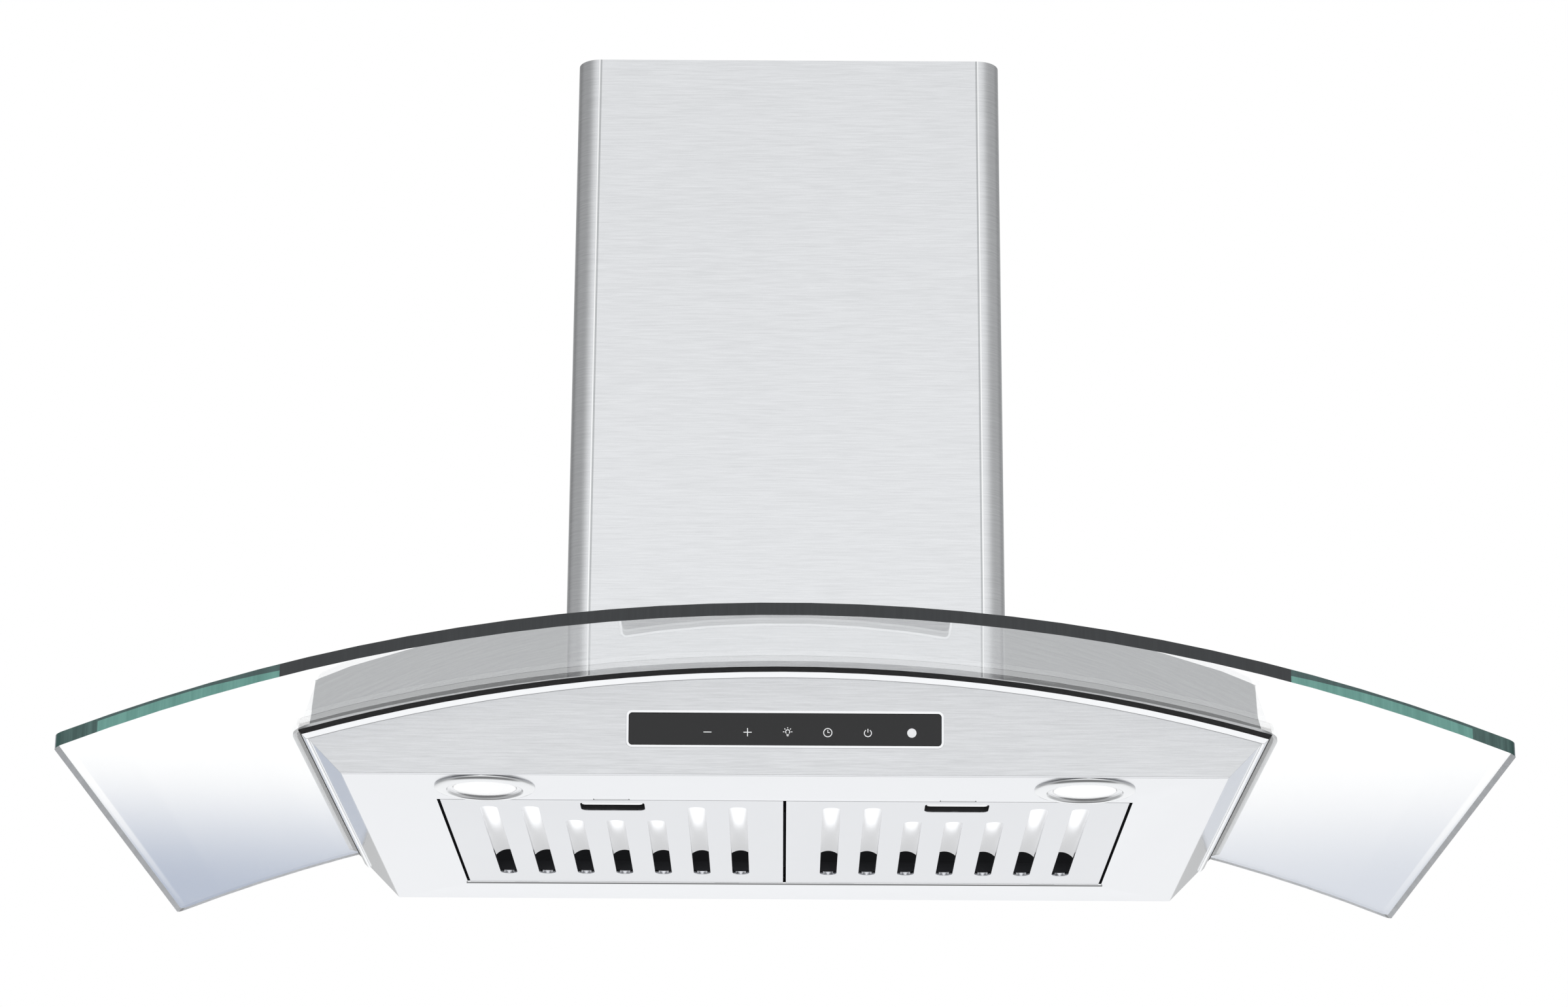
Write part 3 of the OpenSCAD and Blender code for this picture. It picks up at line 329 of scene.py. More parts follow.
def edge_group() -> Tree:
    """A mask of the outer edges, where handling has polished or dulled the surface.

    Returns:
        A group that gives Mask.
    """
    graph, given, out = new_group(
        "Edge rub",
        [Pin("Vector", VECTOR), Pin("Reach", value=0.08), Pin("Breakup", value=60.0)],
        [Pin("Mask")],
    )
    form = graph.add("ShaderNodeNewGeometry")
    where, breakup = given.outputs["Vector"], given.outputs["Breakup"]
    noise = graph.add("ShaderNodeTexNoise", Vector=where, Scale=breakup, Detail=3.0)
    edge = graph.sum("SUBTRACT", form.outputs["Pointiness"], MID)
    edge = graph.sum("DIVIDE", edge, given.outputs["Reach"])
    rub = graph.sum("MULTIPLY", edge, noise.outputs["Fac"])
    graph.set(out, Mask=graph.spread(rub, 0.0, 1.0))
    return graph.tree


def moulded_group() -> Tree:
    """The fine leathery texture of moulded plastic and rubber, with dust in it.

    Returns:
        A group that gives Color, Roughness and Height.
    """
    graph, given, out = new_group(
        "Moulded texture",
        [
            Pin("Vector", VECTOR),
            Pin("Color", COLOUR, rgba((0.03, 0.03, 0.03))),
            Pin("Dust", COLOUR, rgba((0.2, 0.2, 0.2))),
            Pin("Scale", value=900.0),
            Pin("Roughness", value=0.5),
        ],
        [Pin("Color", COLOUR), Pin("Roughness"), Pin("Height")],
    )
    where = given.outputs["Vector"]
    pits = graph.add("ShaderNodeTexVoronoi", Vector=where, Scale=given.outputs["Scale"])
    patch = graph.add("ShaderNodeTexNoise", Vector=where, Scale=18.0, Detail=4.0)
    dust = graph.spread(patch.outputs["Fac"], 0.48, 0.8, 0.0, 0.12)
    rough = graph.sum("MULTIPLY", graph.sum("SUBTRACT", patch.outputs["Fac"], MID), 0.2)
    graph.set(
        out,
        Color=graph.mix(dust, given.outputs["Color"], given.outputs["Dust"]),
        Roughness=graph.sum("ADD", given.outputs["Roughness"], rough),
        Height=pits.outputs["Distance"],
    )
    return graph.tree


def spangle_group() -> Tree:
    """The frost-like crystals of hot-dip zinc.

    Returns:
        A group that gives Color and Roughness.
    """
    graph, given, out = new_group(
        "Zinc spangle",
        [
            Pin("Vector", VECTOR),
            Pin("Color", COLOUR, rgba((0.6, 0.6, 0.6))),
            Pin("Scale", value=140.0),
        ],
        [Pin("Color", COLOUR), Pin("Roughness")],
    )
    where, scale = given.outputs["Vector"], given.outputs["Scale"]
    bend = graph.add("ShaderNodeTexNoise", Vector=where, Scale=scale, Detail=3.0)
    moved = graph.add("ShaderNodeVectorMath", operation="MULTIPLY_ADD")
    for socket, value in zip(moved.inputs, (bend.outputs["Color"], (4 * MM, 4 * MM, 4 * MM), where)):
        graph.feed(socket, value)
    cells = graph.add("ShaderNodeTexVoronoi", Vector=moved.outputs[0], Scale=scale)
    grey = graph.add("ShaderNodeSeparateColor", Color=cells.outputs["Color"]).outputs[0]
    tone = graph.spread(grey, 0.0, 1.0, 0.82, 1.12)
    graph.set(
        out,
        Color=graph.scale(given.outputs["Color"], tone),
        Roughness=graph.spread(grey, 0.0, 1.0, 0.32, 0.48),
    )
    return graph.tree


@dataclass
class Workshop:
    """Keeps each shader node group once, for all the finishes."""

    makers: dict[str, Callable[[], Tree]] = field(
        default_factory=lambda: {
            "brushed": brushed_group,
            "edge": edge_group,
            "moulded": moulded_group,
            "spangle": spangle_group,
        }
    )
    made: dict[str, Tree] = field(default_factory=dict)

    def place(self, graph: Graph, name: str, **values: object) -> Node:
        """Places a group in a material.

        Args:
            graph: the material's graph.
            name: which group.
            **values: its inputs.

        Returns:
            The group node, with Vector already fed by the piece's own coordinates.
        """
        if name not in self.made:
            self.made[name] = self.makers[name]()
        node = graph.tree.nodes.new("ShaderNodeGroup")
        node.node_tree = self.made[name]
        place = graph.add("ShaderNodeTexCoord")
        graph.feed(node.inputs["Vector"], place.outputs["Object"])
        for key, value in values.items():
            graph.feed(node.inputs[key], value)
        return node


# ---- finishes ----

GLASS_IOR = 1.5


@dataclass(frozen=True)
class Finish:
    """A surface finish. Subclasses dress the shader."""

    name: str
    colour: Colour

    def material(self, shop: Workshop) -> Material:
        """Builds the finish's material.

        Args:
            shop: where the shared groups are kept.

        Returns:
            The material.
        """
        made = bpy.data.materials.new(self.name)
        made.use_nodes = True
        graph = Graph(made.node_tree)
        shader = made.node_tree.nodes["Principled BSDF"]
        graph.set(shader, Base_Color=rgba(self.colour))
        self.dress(graph, shader, shop)
        return made

    def dress(self, graph: Graph, shader: Node, shop: Workshop) -> None:
        """Feeds the shader. The plain finish leaves it as it is."""

    @staticmethod
    def bump(graph: Graph, height: Socket, depth: float, strength: float) -> Socket:
        """The normal that a height gives.

        Args:
            graph: the material's graph.
            height: the height's socket.
            depth: the bump's depth.
            strength: the bump's strength.

        Returns:
            The normal's socket.
        """
        node = graph.add("ShaderNodeBump", Height=height, Distance=depth, Strength=strength)
        return node.outputs["Normal"]


@dataclass(frozen=True)
class BrushedSteel(Finish):
    """Stainless sheet with a drawn grain."""

    grain: Grain = Grain.LEVEL
    contrast: float = 0.1
    roughness: float = 0.24
    cloud: float = 0.02
    depth: float = 0.01 * MM
    glow: float = 0.0
    rubbed: float = 1.06
    wear: float = 0.5
    relief: float = 0.25

    def dress(self, graph: Graph, shader: Node, shop: Workshop) -> None:
        """Grain in the colour, the roughness and the relief, and bright rubbed edges.

        Args:
            graph: the material's graph.
            shader: the Principled shader.
            shop: where the shared groups are kept.
        """
        lines = shop.place(
            graph,
            "brushed",
            Frequency=self.grain.value,
            Color=rgba(self.colour),
            Contrast=self.contrast,
            Roughness=self.roughness,
            Cloud=self.cloud,
        )
        rub = shop.place(graph, "edge")
        grained = lines.outputs["Color"]
        worn = graph.sum("MULTIPLY", rub.outputs["Mask"], self.wear)
        graph.set(
            shader,
            Base_Color=graph.mix(worn, grained, graph.scale(grained, self.rubbed)),
            Roughness=lines.outputs["Roughness"],
            Metallic=1.0,
            Emission_Color=rgba(self.colour),
            Emission_Strength=self.glow,
            Normal=self.bump(graph, lines.outputs["Height"], self.depth, self.relief),
        )


@dataclass(frozen=True)
class Polished(Finish):
    """Bright plated or polished metal, with faint wipe marks."""

    roughness: float = 0.06

    def dress(self, graph: Graph, shader: Node, shop: Workshop) -> None:
        """A very faint change of tone and gloss.

        Args:
            graph: the material's graph.
            shader: the Principled shader.
            shop: where the shared groups are kept.
        """
        marks = shop.place(
            graph,
            "brushed",
            Frequency=(25.0, 160.0, 160.0),
            Color=rgba(self.colour),
            Contrast=0.03,
            Roughness=self.roughness,
            Cloud=0.03,
        )
        smooth, dull = self.roughness * 0.8, self.roughness * 1.3
        graph.set(
            shader,
            Base_Color=marks.outputs["Color"],
            Roughness=graph.spread(marks.outputs["Height"], 0.3, 0.7, smooth, dull),
            Metallic=1.0,
        )


@dataclass(frozen=True)
class Moulded(Finish):
    """Moulded plastic or rubber."""

    dust: Colour = (0.10, 0.10, 0.10)
    roughness: float = 0.5
    scale: float = 1400.0
    depth: float = 0.04 * MM
    wear: float = 0.35
    relief: float = 0.3

    def dress(self, graph: Graph, shader: Node, shop: Workshop) -> None:
        """Fine texture, thin dust and rubbed edges.

        Args:
            graph: the material's graph.
            shader: the Principled shader.
            shop: where the shared groups are kept.
        """
        skin = shop.place(
            graph,
            "moulded",
            Color=rgba(self.colour),
            Dust=rgba(self.dust),
            Scale=self.scale,
            Roughness=self.roughness,
        )
        rub = shop.place(graph, "edge", Breakup=120.0)
        worn = graph.sum("MULTIPLY", rub.outputs["Mask"], self.wear)
        graph.set(
            shader,
            Base_Color=graph.mix(worn, skin.outputs["Color"], rgba(self.dust)),
            Roughness=skin.outputs["Roughness"],
            Normal=self.bump(graph, skin.outputs["Height"], self.depth, self.relief),
        )


@dataclass(frozen=True)
class Zinc(Finish):
    """Galvanised or cast light metal."""

    scale: float = 140.0

    def dress(self, graph: Graph, shader: Node, shop: Workshop) -> None:
        """Crystals in the colour and the gloss.

        Args:
            graph: the material's graph.
            shader: the Principled shader.
            shop: where the shared groups are kept.
        """
        frost = shop.place(graph, "spangle", Color=rgba(self.colour), Scale=self.scale)
        graph.set(
            shader,
            Base_Color=frost.outputs["Color"],
            Roughness=frost.outputs["Roughness"],
            Metallic=1.0,
        )


@dataclass(frozen=True)
class Glass(Finish):
    """Clear toughened glass with a trace of haze from wiping."""

    haze: float = 0.012

    def dress(self, graph: Graph, shader: Node, shop: Workshop) -> None:
        """Plain transmission, and a colour that drifts very slightly.

        Args:
            graph: the material's graph.
            shader: the Principled shader.
            shop: where the shared groups are kept.
        """
        wipe = shop.place(
            graph,
            "brushed",
            Frequency=(9.0, 3.0, 9.0),
            Color=rgba(self.colour),
            Contrast=self.haze,
            Roughness=0.0,
            Cloud=self.haze,
        )
        colour = wipe.outputs["Color"]
        graph.set(shader, Base_Color=colour, Roughness=0.0, IOR=GLASS_IOR, Transmission_Weight=1.0)


@dataclass(frozen=True)
class EdgeGlass(Finish):
    """The ground edge of the glass, where its own depth of colour shows, or a dark reflection
    painted on it.
    """

    upper: Colour = (0.0, 0.0, 0.0)
    roughness: float = 0.12

    def dress(self, graph: Graph, shader: Node, shop: Workshop) -> None:
        """Fine vertical grinding marks between the lower and the upper colour.

        Args:
            graph: the material's graph.
            shader: the Principled shader.
            shop: where the shared groups are kept.
        """
        marks = shop.place(
            graph,
            "brushed",
            Frequency=(260.0, 40.0, 12.0),
            Color=rgba(self.colour),
            Contrast=0.5,
            Roughness=self.roughness,
            Cloud=0.1,
        )
        share = graph.spread(marks.outputs["Height"], 0.35, 0.75, 0.0, 0.35)
        colour = graph.mix(share, marks.outputs["Color"], rgba(self.upper))
        graph.set(shader, Base_Color=colour, Roughness=marks.outputs["Roughness"])


@dataclass(frozen=True)
class Lit(Finish):
    """A pale surface with a light of its own, such as a frosted lens or a lit symbol."""

    glow: float = 0.3
    roughness: float = 0.3

    def dress(self, graph: Graph, shader: Node, shop: Workshop) -> None:
        """A faint prismatic mottle in the colour, and an even glow.

        Args:
            graph: the material's graph.
            shader: the Principled shader.
            shop: where the shared groups are kept.
        """
        skin = shop.place(
            graph,
            "moulded",
            Color=rgba(self.colour),
            Dust=rgba(tuple(c * 0.93 for c in self.colour)),
            Scale=700.0,
            Roughness=self.roughness,
        )
        graph.set(
            shader,
            Base_Color=skin.outputs["Color"],
            Roughness=skin.outputs["Roughness"],
            Emission_Color=rgba(self.colour),
            Emission_Strength=self.glow,
        )


@dataclass(frozen=True)
class Smoked(Finish):
    """The dark glass of the touch panel."""

    roughness: float = 0.08

    def dress(self, graph: Graph, shader: Node, shop: Workshop) -> None:
        """Deep black with the faintest mottle.

        Args:
            graph: the material's graph.
            shader: the Principled shader.
            shop: where the shared groups are kept.
        """
        skin = shop.place(
            graph,
            "moulded",
            Color=rgba(self.colour),
            Dust=rgba(tuple(c * 1.25 for c in self.colour)),
            Scale=300.0,
            Roughness=self.roughness,
        )
        colour = skin.outputs["Color"]
        graph.set(shader, Base_Color=colour, Roughness=self.roughness, IOR=GLASS_IOR)


@dataclass(frozen=True)
class Wound(Finish):
    """Lacquered copper wire, laid in close turns."""

    pitch: float = 1200.0

    def dress(self, graph: Graph, shader: Node, shop: Workshop) -> None:
        """Close turns in the relief, with painted shade darkening the colour in the grooves between
        them.

        Args:
            graph: the material's graph.
            shader: the Principled shader.
            shop: not used.
        """
        place = graph.add("ShaderNodeTexCoord")
        where = place.outputs["Object"]
        turns = graph.add("ShaderNodeTexWave", Vector=where, Scale=self.pitch, Distortion=1.5)
        height = turns.outputs["Fac"]
        # Painted shade: the colour darkens in the grooves between turns
        dark = tuple(c * 0.45 for c in self.colour)
        graph.set(
            shader,
            Base_Color=graph.mix(height, rgba(dark), rgba(self.colour)),
            Roughness=graph.spread(height, 0.0, 1.0, 0.5, 0.25),
            Metallic=0.8,
            Normal=self.bump(graph, height, 0.3 * MM, 0.6),
        )


@dataclass(frozen=True)
class Board(Finish):
    """Circuit board with copper tracks under its green mask."""

    track: Colour = (0.10, 0.38, 0.20)

    def dress(self, graph: Graph, shader: Node, shop: Workshop) -> None:
        """Square tracks in a lighter green.

        Args:
            graph: the material's graph.
            shader: the Principled shader.
            shop: not used.
        """
        place = graph.add("ShaderNodeTexCoord")
        blocks = graph.add(
            "ShaderNodeTexBrick",
            Vector=place.outputs["Object"],
            Scale=160.0,
            Color1=rgba(self.colour),
            Color2=rgba(tuple(c * 1.2 for c in self.colour)),
            Mortar=rgba(self.track),
            Mortar_Size=0.03,
        )
        graph.set(shader, Base_Color=blocks.outputs["Color"], Roughness=0.35)


STEEL_FRONT = BrushedSteel(
    "brushed_front", (0.715, 0.722, 0.735), contrast=0.42, roughness=0.22, cloud=0.03
)
STEEL_CHIMNEY = BrushedSteel(
    "brushed_chimney", (0.793, 0.801, 0.814), contrast=0.32, roughness=0.24, cloud=0.03
)
# Painted reflection and painted highlight: a dark line and a white line on the chimney beside its
# folds
FOLD_PAINTED_REFLECTION = BrushedSteel(
    "fold_mark_dark", (0.52, 0.53, 0.54), contrast=0.3, roughness=0.24, cloud=0.03
)
FOLD_PAINTED_HIGHLIGHT = BrushedSteel(
    "fold_mark_bright", (0.97, 0.975, 0.98), contrast=0.1, roughness=0.2, cloud=0.03
)
STEEL_SATIN = BrushedSteel(
    "satin_underside",
    (0.832, 0.838, 0.858),
    grain=Grain.FINE_ACROSS, contrast=0.05, roughness=0.18, cloud=0.02, depth=0.004 * MM,
)
STEEL_TRAY = BrushedSteel(
    "satin_filter",
    (0.735, 0.742, 0.765),
    grain=Grain.FINE_ACROSS, contrast=0.09, roughness=0.19, cloud=0.04, depth=0.004 * MM,
)
# Painted shade: near-black steel with a faint painted glow, put on inner walls that lie in shadow
STEEL_PAINTED_SHADE = BrushedSteel(
    "shaded_inner_wall",
    (0.060, 0.062, 0.068),
    contrast=0.3, roughness=0.35, cloud=0.1, depth=0.004 * MM, glow=0.12,
)
# Painted light: a glow of its own on the baffles' undersides, standing in for light that reaches the
# channel roofs
STEEL_PAINTED_LIGHT = BrushedSteel(
    "lit_baffle",
    (0.40, 0.403, 0.41),
    grain=Grain.FINE_ACROSS, contrast=0.25, roughness=0.22, cloud=0.05, depth=0.004 * MM, glow=1.55,
)
STEEL_SIDE = BrushedSteel(
    "polished_side", (0.66, 0.672, 0.69), contrast=0.04, roughness=0.07, cloud=0.01, depth=0.002 * MM
)
STEEL_BAFFLE = BrushedSteel(
    "baffle_steel",
    (0.70, 0.705, 0.715),
    grain=Grain.FINE_ACROSS, contrast=0.25, roughness=0.2, cloud=0.05,
)
BRIGHT = Polished("bright_trim", (0.93, 0.935, 0.945))
SOFT_CHROME = Polished("soft_chrome", (0.86, 0.865, 0.875), 0.16)
MACHINED = Polished("machined_steel", (0.68, 0.69, 0.70), 0.22)
BRONZE = Polished("sintered_bronze", (0.60, 0.42, 0.20), 0.38)
RUBBER = Moulded("black_rubber", (0.010, 0.010, 0.011), (0.03, 0.03, 0.03), 0.62)
BLACK = Moulded("black_plastic", (0.024, 0.024, 0.026), (0.09, 0.09, 0.09), 0.48)
WHITE = Moulded("white_case", (0.80, 0.80, 0.77), (0.68, 0.68, 0.64), 0.35)
GALVANISED = Zinc("galvanised", (0.62, 0.65, 0.67))
CAST = Zinc("cast_aluminium", (0.74, 0.75, 0.76), 900.0)
SHEET_GLASS = Glass("clear_glass", (0.997, 1.0, 1.0))
# Painted reflection: the dark gasket and clamp plate seen in the middle of the glass edge
EDGE_PAINTED_REFLECTION = EdgeGlass("glass_edge_dark", (0.022, 0.025, 0.028), (0.034, 0.038, 0.041))
EDGE_GREEN = EdgeGlass("glass_edge_green", (0.13, 0.34, 0.29), (0.22, 0.46, 0.40))
EDGE_DEEP = EdgeGlass("glass_edge_deep", (0.030, 0.082, 0.074), (0.16, 0.30, 0.27))
EDGE_UPPER = EdgeGlass("glass_edge_upper", (0.048, 0.098, 0.094), (0.08, 0.16, 0.15))
EDGE_PALE = EdgeGlass("glass_edge_pale", (0.60, 0.63, 0.68), (0.88, 0.90, 0.93))
EDGE_LINE = EdgeGlass("glass_arris", (0.004, 0.006, 0.007), (0.012, 0.020, 0.020))
LENS = Lit("frosted_lens", (0.95, 0.95, 0.95), 0.35)
SYMBOL = Lit("lit_symbol", (0.88, 0.89, 0.90), 0.25)
PANEL_GLASS = Smoked("touch_glass", (0.004, 0.004, 0.005))
COPPER = Wound("copper_winding", (0.52, 0.27, 0.13))
GREEN_BOARD = Board("green_board", (0.03, 0.20, 0.09))

BY_SLOT: dict[str, Finish] = {
    "brushed_steel": STEEL_CHIMNEY,
    "satin_steel": STEEL_SATIN,
    "chrome": BRIGHT,
    "rubber": RUBBER,
    "tinted_glass": SHEET_GLASS,
    "control_glass": PANEL_GLASS,
    "circuit_board": GREEN_BOARD,
    "black_plastic": BLACK,
    "lamp_lens": LENS,
    "aluminium": CAST,
    "galvanised_steel": GALVANISED,
    "machined_steel": MACHINED,
    "winding": COPPER,
    "bronze": BRONZE,
    "white_plastic": WHITE,
}
BY_NODE: dict[str, Finish] = {"filter_rod": BRIGHT}


# ---- the bench that pieces are built on ----


def new_object(name: str, shape: Shape) -> Object:
    """Puts a shape into the scene.

    Args:
        name: the object's name.
        shape: its shape, which is used up.

    Returns:
        The new object.
    """
    data = bpy.data.meshes.new(name)
    shape.to_mesh(data)
    shape.free()
    thing = bpy.data.objects.new(name, data)
    bpy.context.scene.collection.objects.link(thing)
    return thing


# Corners nearer than this are one corner
SAME_PLACE = 0.002 * MM
# Angles between faces, in degrees: taken as flat, rounded off, and left sharp
FLAT_ANGLE = 0.25
ROUNDED_ANGLE = 32.0
SHARP_ANGLE = 50.0


@dataclass
class Bench:
    """The loaded frame, with the finishes and the ways to set pieces on it."""

    frame: dict[str, object]
    shop: Workshop = field(default_factory=Workshop)
    materials: dict[str, Material] = field(default_factory=dict)

    def __post_init__(self) -> None:
        """Reads each node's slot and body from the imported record."""
        record = self.frame["record"]
        self.slots = {part["node"]: part["material_slot"] for part in record["subparts"]}
        bodies = record["behaviour"]["bodies"]
        self.bodies = {node: body for body, nodes in bodies.items() for node in nodes}

    def finish_of(self, node: str) -> Finish:
        """The finish that a CAD node gets."""
        return BY_NODE.get(node) or BY_SLOT[self.slots[node]]

    def material(self, finish: Finish) -> Material:
        """The material of a finish, built once.

        Args:
            finish: the finish.

        Returns:
            The material.
        """
        if finish.name not in self.materials:
            self.materials[finish.name] = finish.material(self.shop)
        return self.materials[finish.name]

    def dress_node(self, node: str) -> None:
        """Gives a CAD node that stays as it is its material.

        Args:
            node: the CAD node's name.
        """
        made = self.material(self.finish_of(node))
        for slot in self.frame["nodes"][node].material_slots:
            slot.link = "OBJECT"
            slot.material = made
        LOG.info("node %s dressed as %s", node, made.name)

    def place(
        self, name: str, shape: Shape, node: str, *finishes: Finish, stands_for: bool = True
    ) -> Object:
        """Turns a shape into a piece that rides with a CAD node.

        Args:
            name: the piece's name.
            shape: its shape, in the frame, which is used up.
            node: the CAD node that it belongs to.
            *finishes: its finishes, in the order of its material indices.
            stands_for: whether it takes the node's place.

        Returns:
            The new piece.
        """
        piece = new_object(name, shape)
        for finish in finishes or (self.finish_of(node),):
            piece.data.materials.append(self.material(finish))
        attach(piece, self.bodies[node])
        if stands_for:
            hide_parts(node)
        LOG.info("piece %s on %s, %d faces", name, self.bodies[node], len(piece.data.polygons))
        return piece

    def shape_of(self, node: str) -> Shape:
        """A clean copy of a CAD node's shape: whole flat faces and shared corners.

        Args:
            node: the CAD node's name.

        Returns:
            The copy.
        """
        shape = bmesh.new()
        shape.from_mesh(self.frame["nodes"][node].data)
        bmesh.ops.remove_doubles(shape, verts=shape.verts, dist=SAME_PLACE)
        bmesh.ops.dissolve_limit(
            shape,
            angle_limit=math.radians(FLAT_ANGLE),
            verts=shape.verts,
            edges=shape.edges,
            use_dissolve_boundaries=False,
        )
        return shape

    def soften(self, shape: Shape, radius: float, steps: int = 2) -> None:
        """Rounds a shape's edges, and shades the rest smooth.

        Args:
            shape: the shape to work on.
            radius: how far the rounding reaches.
            steps: segments in the rounding.
        """
        bmesh.ops.bevel(
            shape,
            geom=[edge for edge in shape.edges if bent(edge, ROUNDED_ANGLE)],
            offset=radius,
            offset_type="OFFSET",
            segments=steps,
            profile=0.5,
            affect="EDGES",
            clamp_overlap=True,
        )
        for face in shape.faces:
            face.smooth = True
        for edge in shape.edges:
            edge.smooth = not bent(edge, SHARP_ANGLE)

    def rounded(
        self,
        node: str,
        radius: float,
        *finishes: Finish,
        steps: int = 2,
        choose: Callable[[Face], int] | None = None,
        shape: Shape | None = None,
        even: bool = True,
    ) -> None:
        """A copy of a CAD node with its edges rounded, in the node's place.

        Args:
            node: the CAD node.
            radius: the rounding's reach.
            *finishes: the finishes, or none for the node's own.
            steps: segments in the rounding.
            choose: gives the number of each face's finish.
            shape: the node's shape, when it has been worked on.
            even: whether large faces rule the shading.
        """
        if shape is None:
            shape = self.shape_of(node)
        self.soften(shape, radius, steps)
        if choose:
            shape.normal_update()
            for face in shape.faces:
                face.material_index = choose(face)
        piece = self.place(f"{node}_rounded", shape, node, *finishes)
        if even:
            weigh(piece)


def bent(edge: Edge, angle: float) -> bool:
    """Whether two faces meet at an edge at more than an angle, in degrees."""
    return len(edge.link_faces) == 2 and edge.calc_face_angle(0.0) > math.radians(angle)


def cut_upright(shape: Shape, faces: Iterable[Face], x: float) -> None:
    """Cuts some faces of a shape along an upright plane across the hood.

    Args:
        shape: the shape to work on.
        faces: the faces to cut.
        x: how far the plane stands from the middle.
    """
    faces = list(faces)
    edges = dict.fromkeys(edge for face in faces for edge in face.edges)
    verts = dict.fromkeys(vert for face in faces for vert in face.verts)
    geom = [*verts, *edges, *faces]
    bmesh.ops.bisect_plane(shape, geom=geom, plane_co=(x, 0, 0), plane_no=(1, 0, 0))


def weigh(piece: Object) -> None:
    """Makes large faces rule the shading, so that flat sheets look flat.

    Args:
        piece: the piece.
    """
    modifier = piece.modifiers.new("even shading", "WEIGHTED_NORMAL")
    modifier.keep_sharp = True
    modifier.weight = 60


def lathe(profile: Sequence[Point2], centre: Vector, steps: int, close: bool = True) -> Shape:
    """Turns a profile about a vertical axis.

    Args:
        profile: points as (radius, height), in metres.
        centre: the axis's place, at height zero of the profile.
        steps: faces round the axis.
        close: whether the last point joins the first.

    Returns:
        The turned shape.
    """
    shape = bmesh.new()
    rings = []
    for radius, height in profile:
        if radius == 0.0:
            rings.append([shape.verts.new(centre + Vector((0, 0, height)))] * steps)
            continue
        turns = (2 * math.pi * k / steps for k in range(steps))
        spots = (Vector((radius * math.cos(t), radius * math.sin(t), height)) for t in turns)
        rings.append([shape.verts.new(centre + spot) for spot in spots])
    pairs = list(zip(rings, rings[1:]))
    if close:
        pairs.append((rings[-1], rings[0]))
    faces = []
    for lower, upper in pairs:
        for k in range(steps):
            n = (k + 1) % steps
            corners = []
            for vert in (lower[k], lower[n], upper[n], upper[k]):
                if vert not in corners:
                    corners.append(vert)
            if len(corners) > 2:
                faces.append(shape.faces.new(corners))
    bmesh.ops.recalc_face_normals(shape, faces=faces)
    for face in faces:
        face.smooth = True
    return shape


def arc(centre: Point2, radius: float, start: float, end: float, steps: int) -> list[Point2]:
    """Points on a circle, from one angle to another, in degrees."""
    turns = [math.radians(start + (end - start) * k / steps) for k in range(steps + 1)]
    return [(centre[0] + radius * math.cos(t), centre[1] + radius * math.sin(t)) for t in turns]


# ---- sub-assemblies ----


@dataclass
class CanopyBody:
    """The steel body under the glass, with its seals and the clamp plate over it."""

    sheet_radius: float = 0.4 * MM
    plate_radius: float = 0.48 * MM
    seal_radius: float = 0.6 * MM
    pad_radius: float = 0.2 * MM
    back_reach: float = 10 * MM
    roof_reach: float = 300 * MM
    head_room: float = 4 * MM
    back_facing: float = 0.9
    roof_facing: float = 0.6

    def build(self, bench: Bench) -> None:
        """Rounds the folded sheets and the seals.

        Args:
            bench: the bench that pieces are built on.
        """
        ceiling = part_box("filter_left_tray")[1].z + self.head_room

        def inner(face: Face) -> int:
            """1 for the back wall and the roof inside the body, which get painted shade, and 0 for
            the rest.

            Args:
                face: the face.

            Returns:
                The number of the face's finish.
            """
            middle = face.calc_center_median()
            over_filters = middle.z > ceiling and middle.y > -self.roof_reach
            back = face.normal.y < -self.back_facing and middle.y > -self.back_reach
            return int(back or (face.normal.z < -self.roof_facing and over_filters))

        sheet = self.sheet_radius
        # The inner back wall and roof get painted shade in place of their own steel
        bench.rounded("canopy_shell", sheet, STEEL_SIDE, STEEL_PAINTED_SHADE, choose=inner)
        bench.rounded("front_panel", sheet, STEEL_FRONT)
        bench.rounded("bottom_panel", sheet, STEEL_SATIN)
        bench.rounded("trim_moulding", sheet, BRIGHT, steps=3)
        bench.rounded("glass_gasket", self.seal_radius, RUBBER, steps=3)
        bench.rounded("clamp_plate", self.plate_radius, SOFT_CHROME)
        bench.rounded("clamp_pad", self.pad_radius, RUBBER)


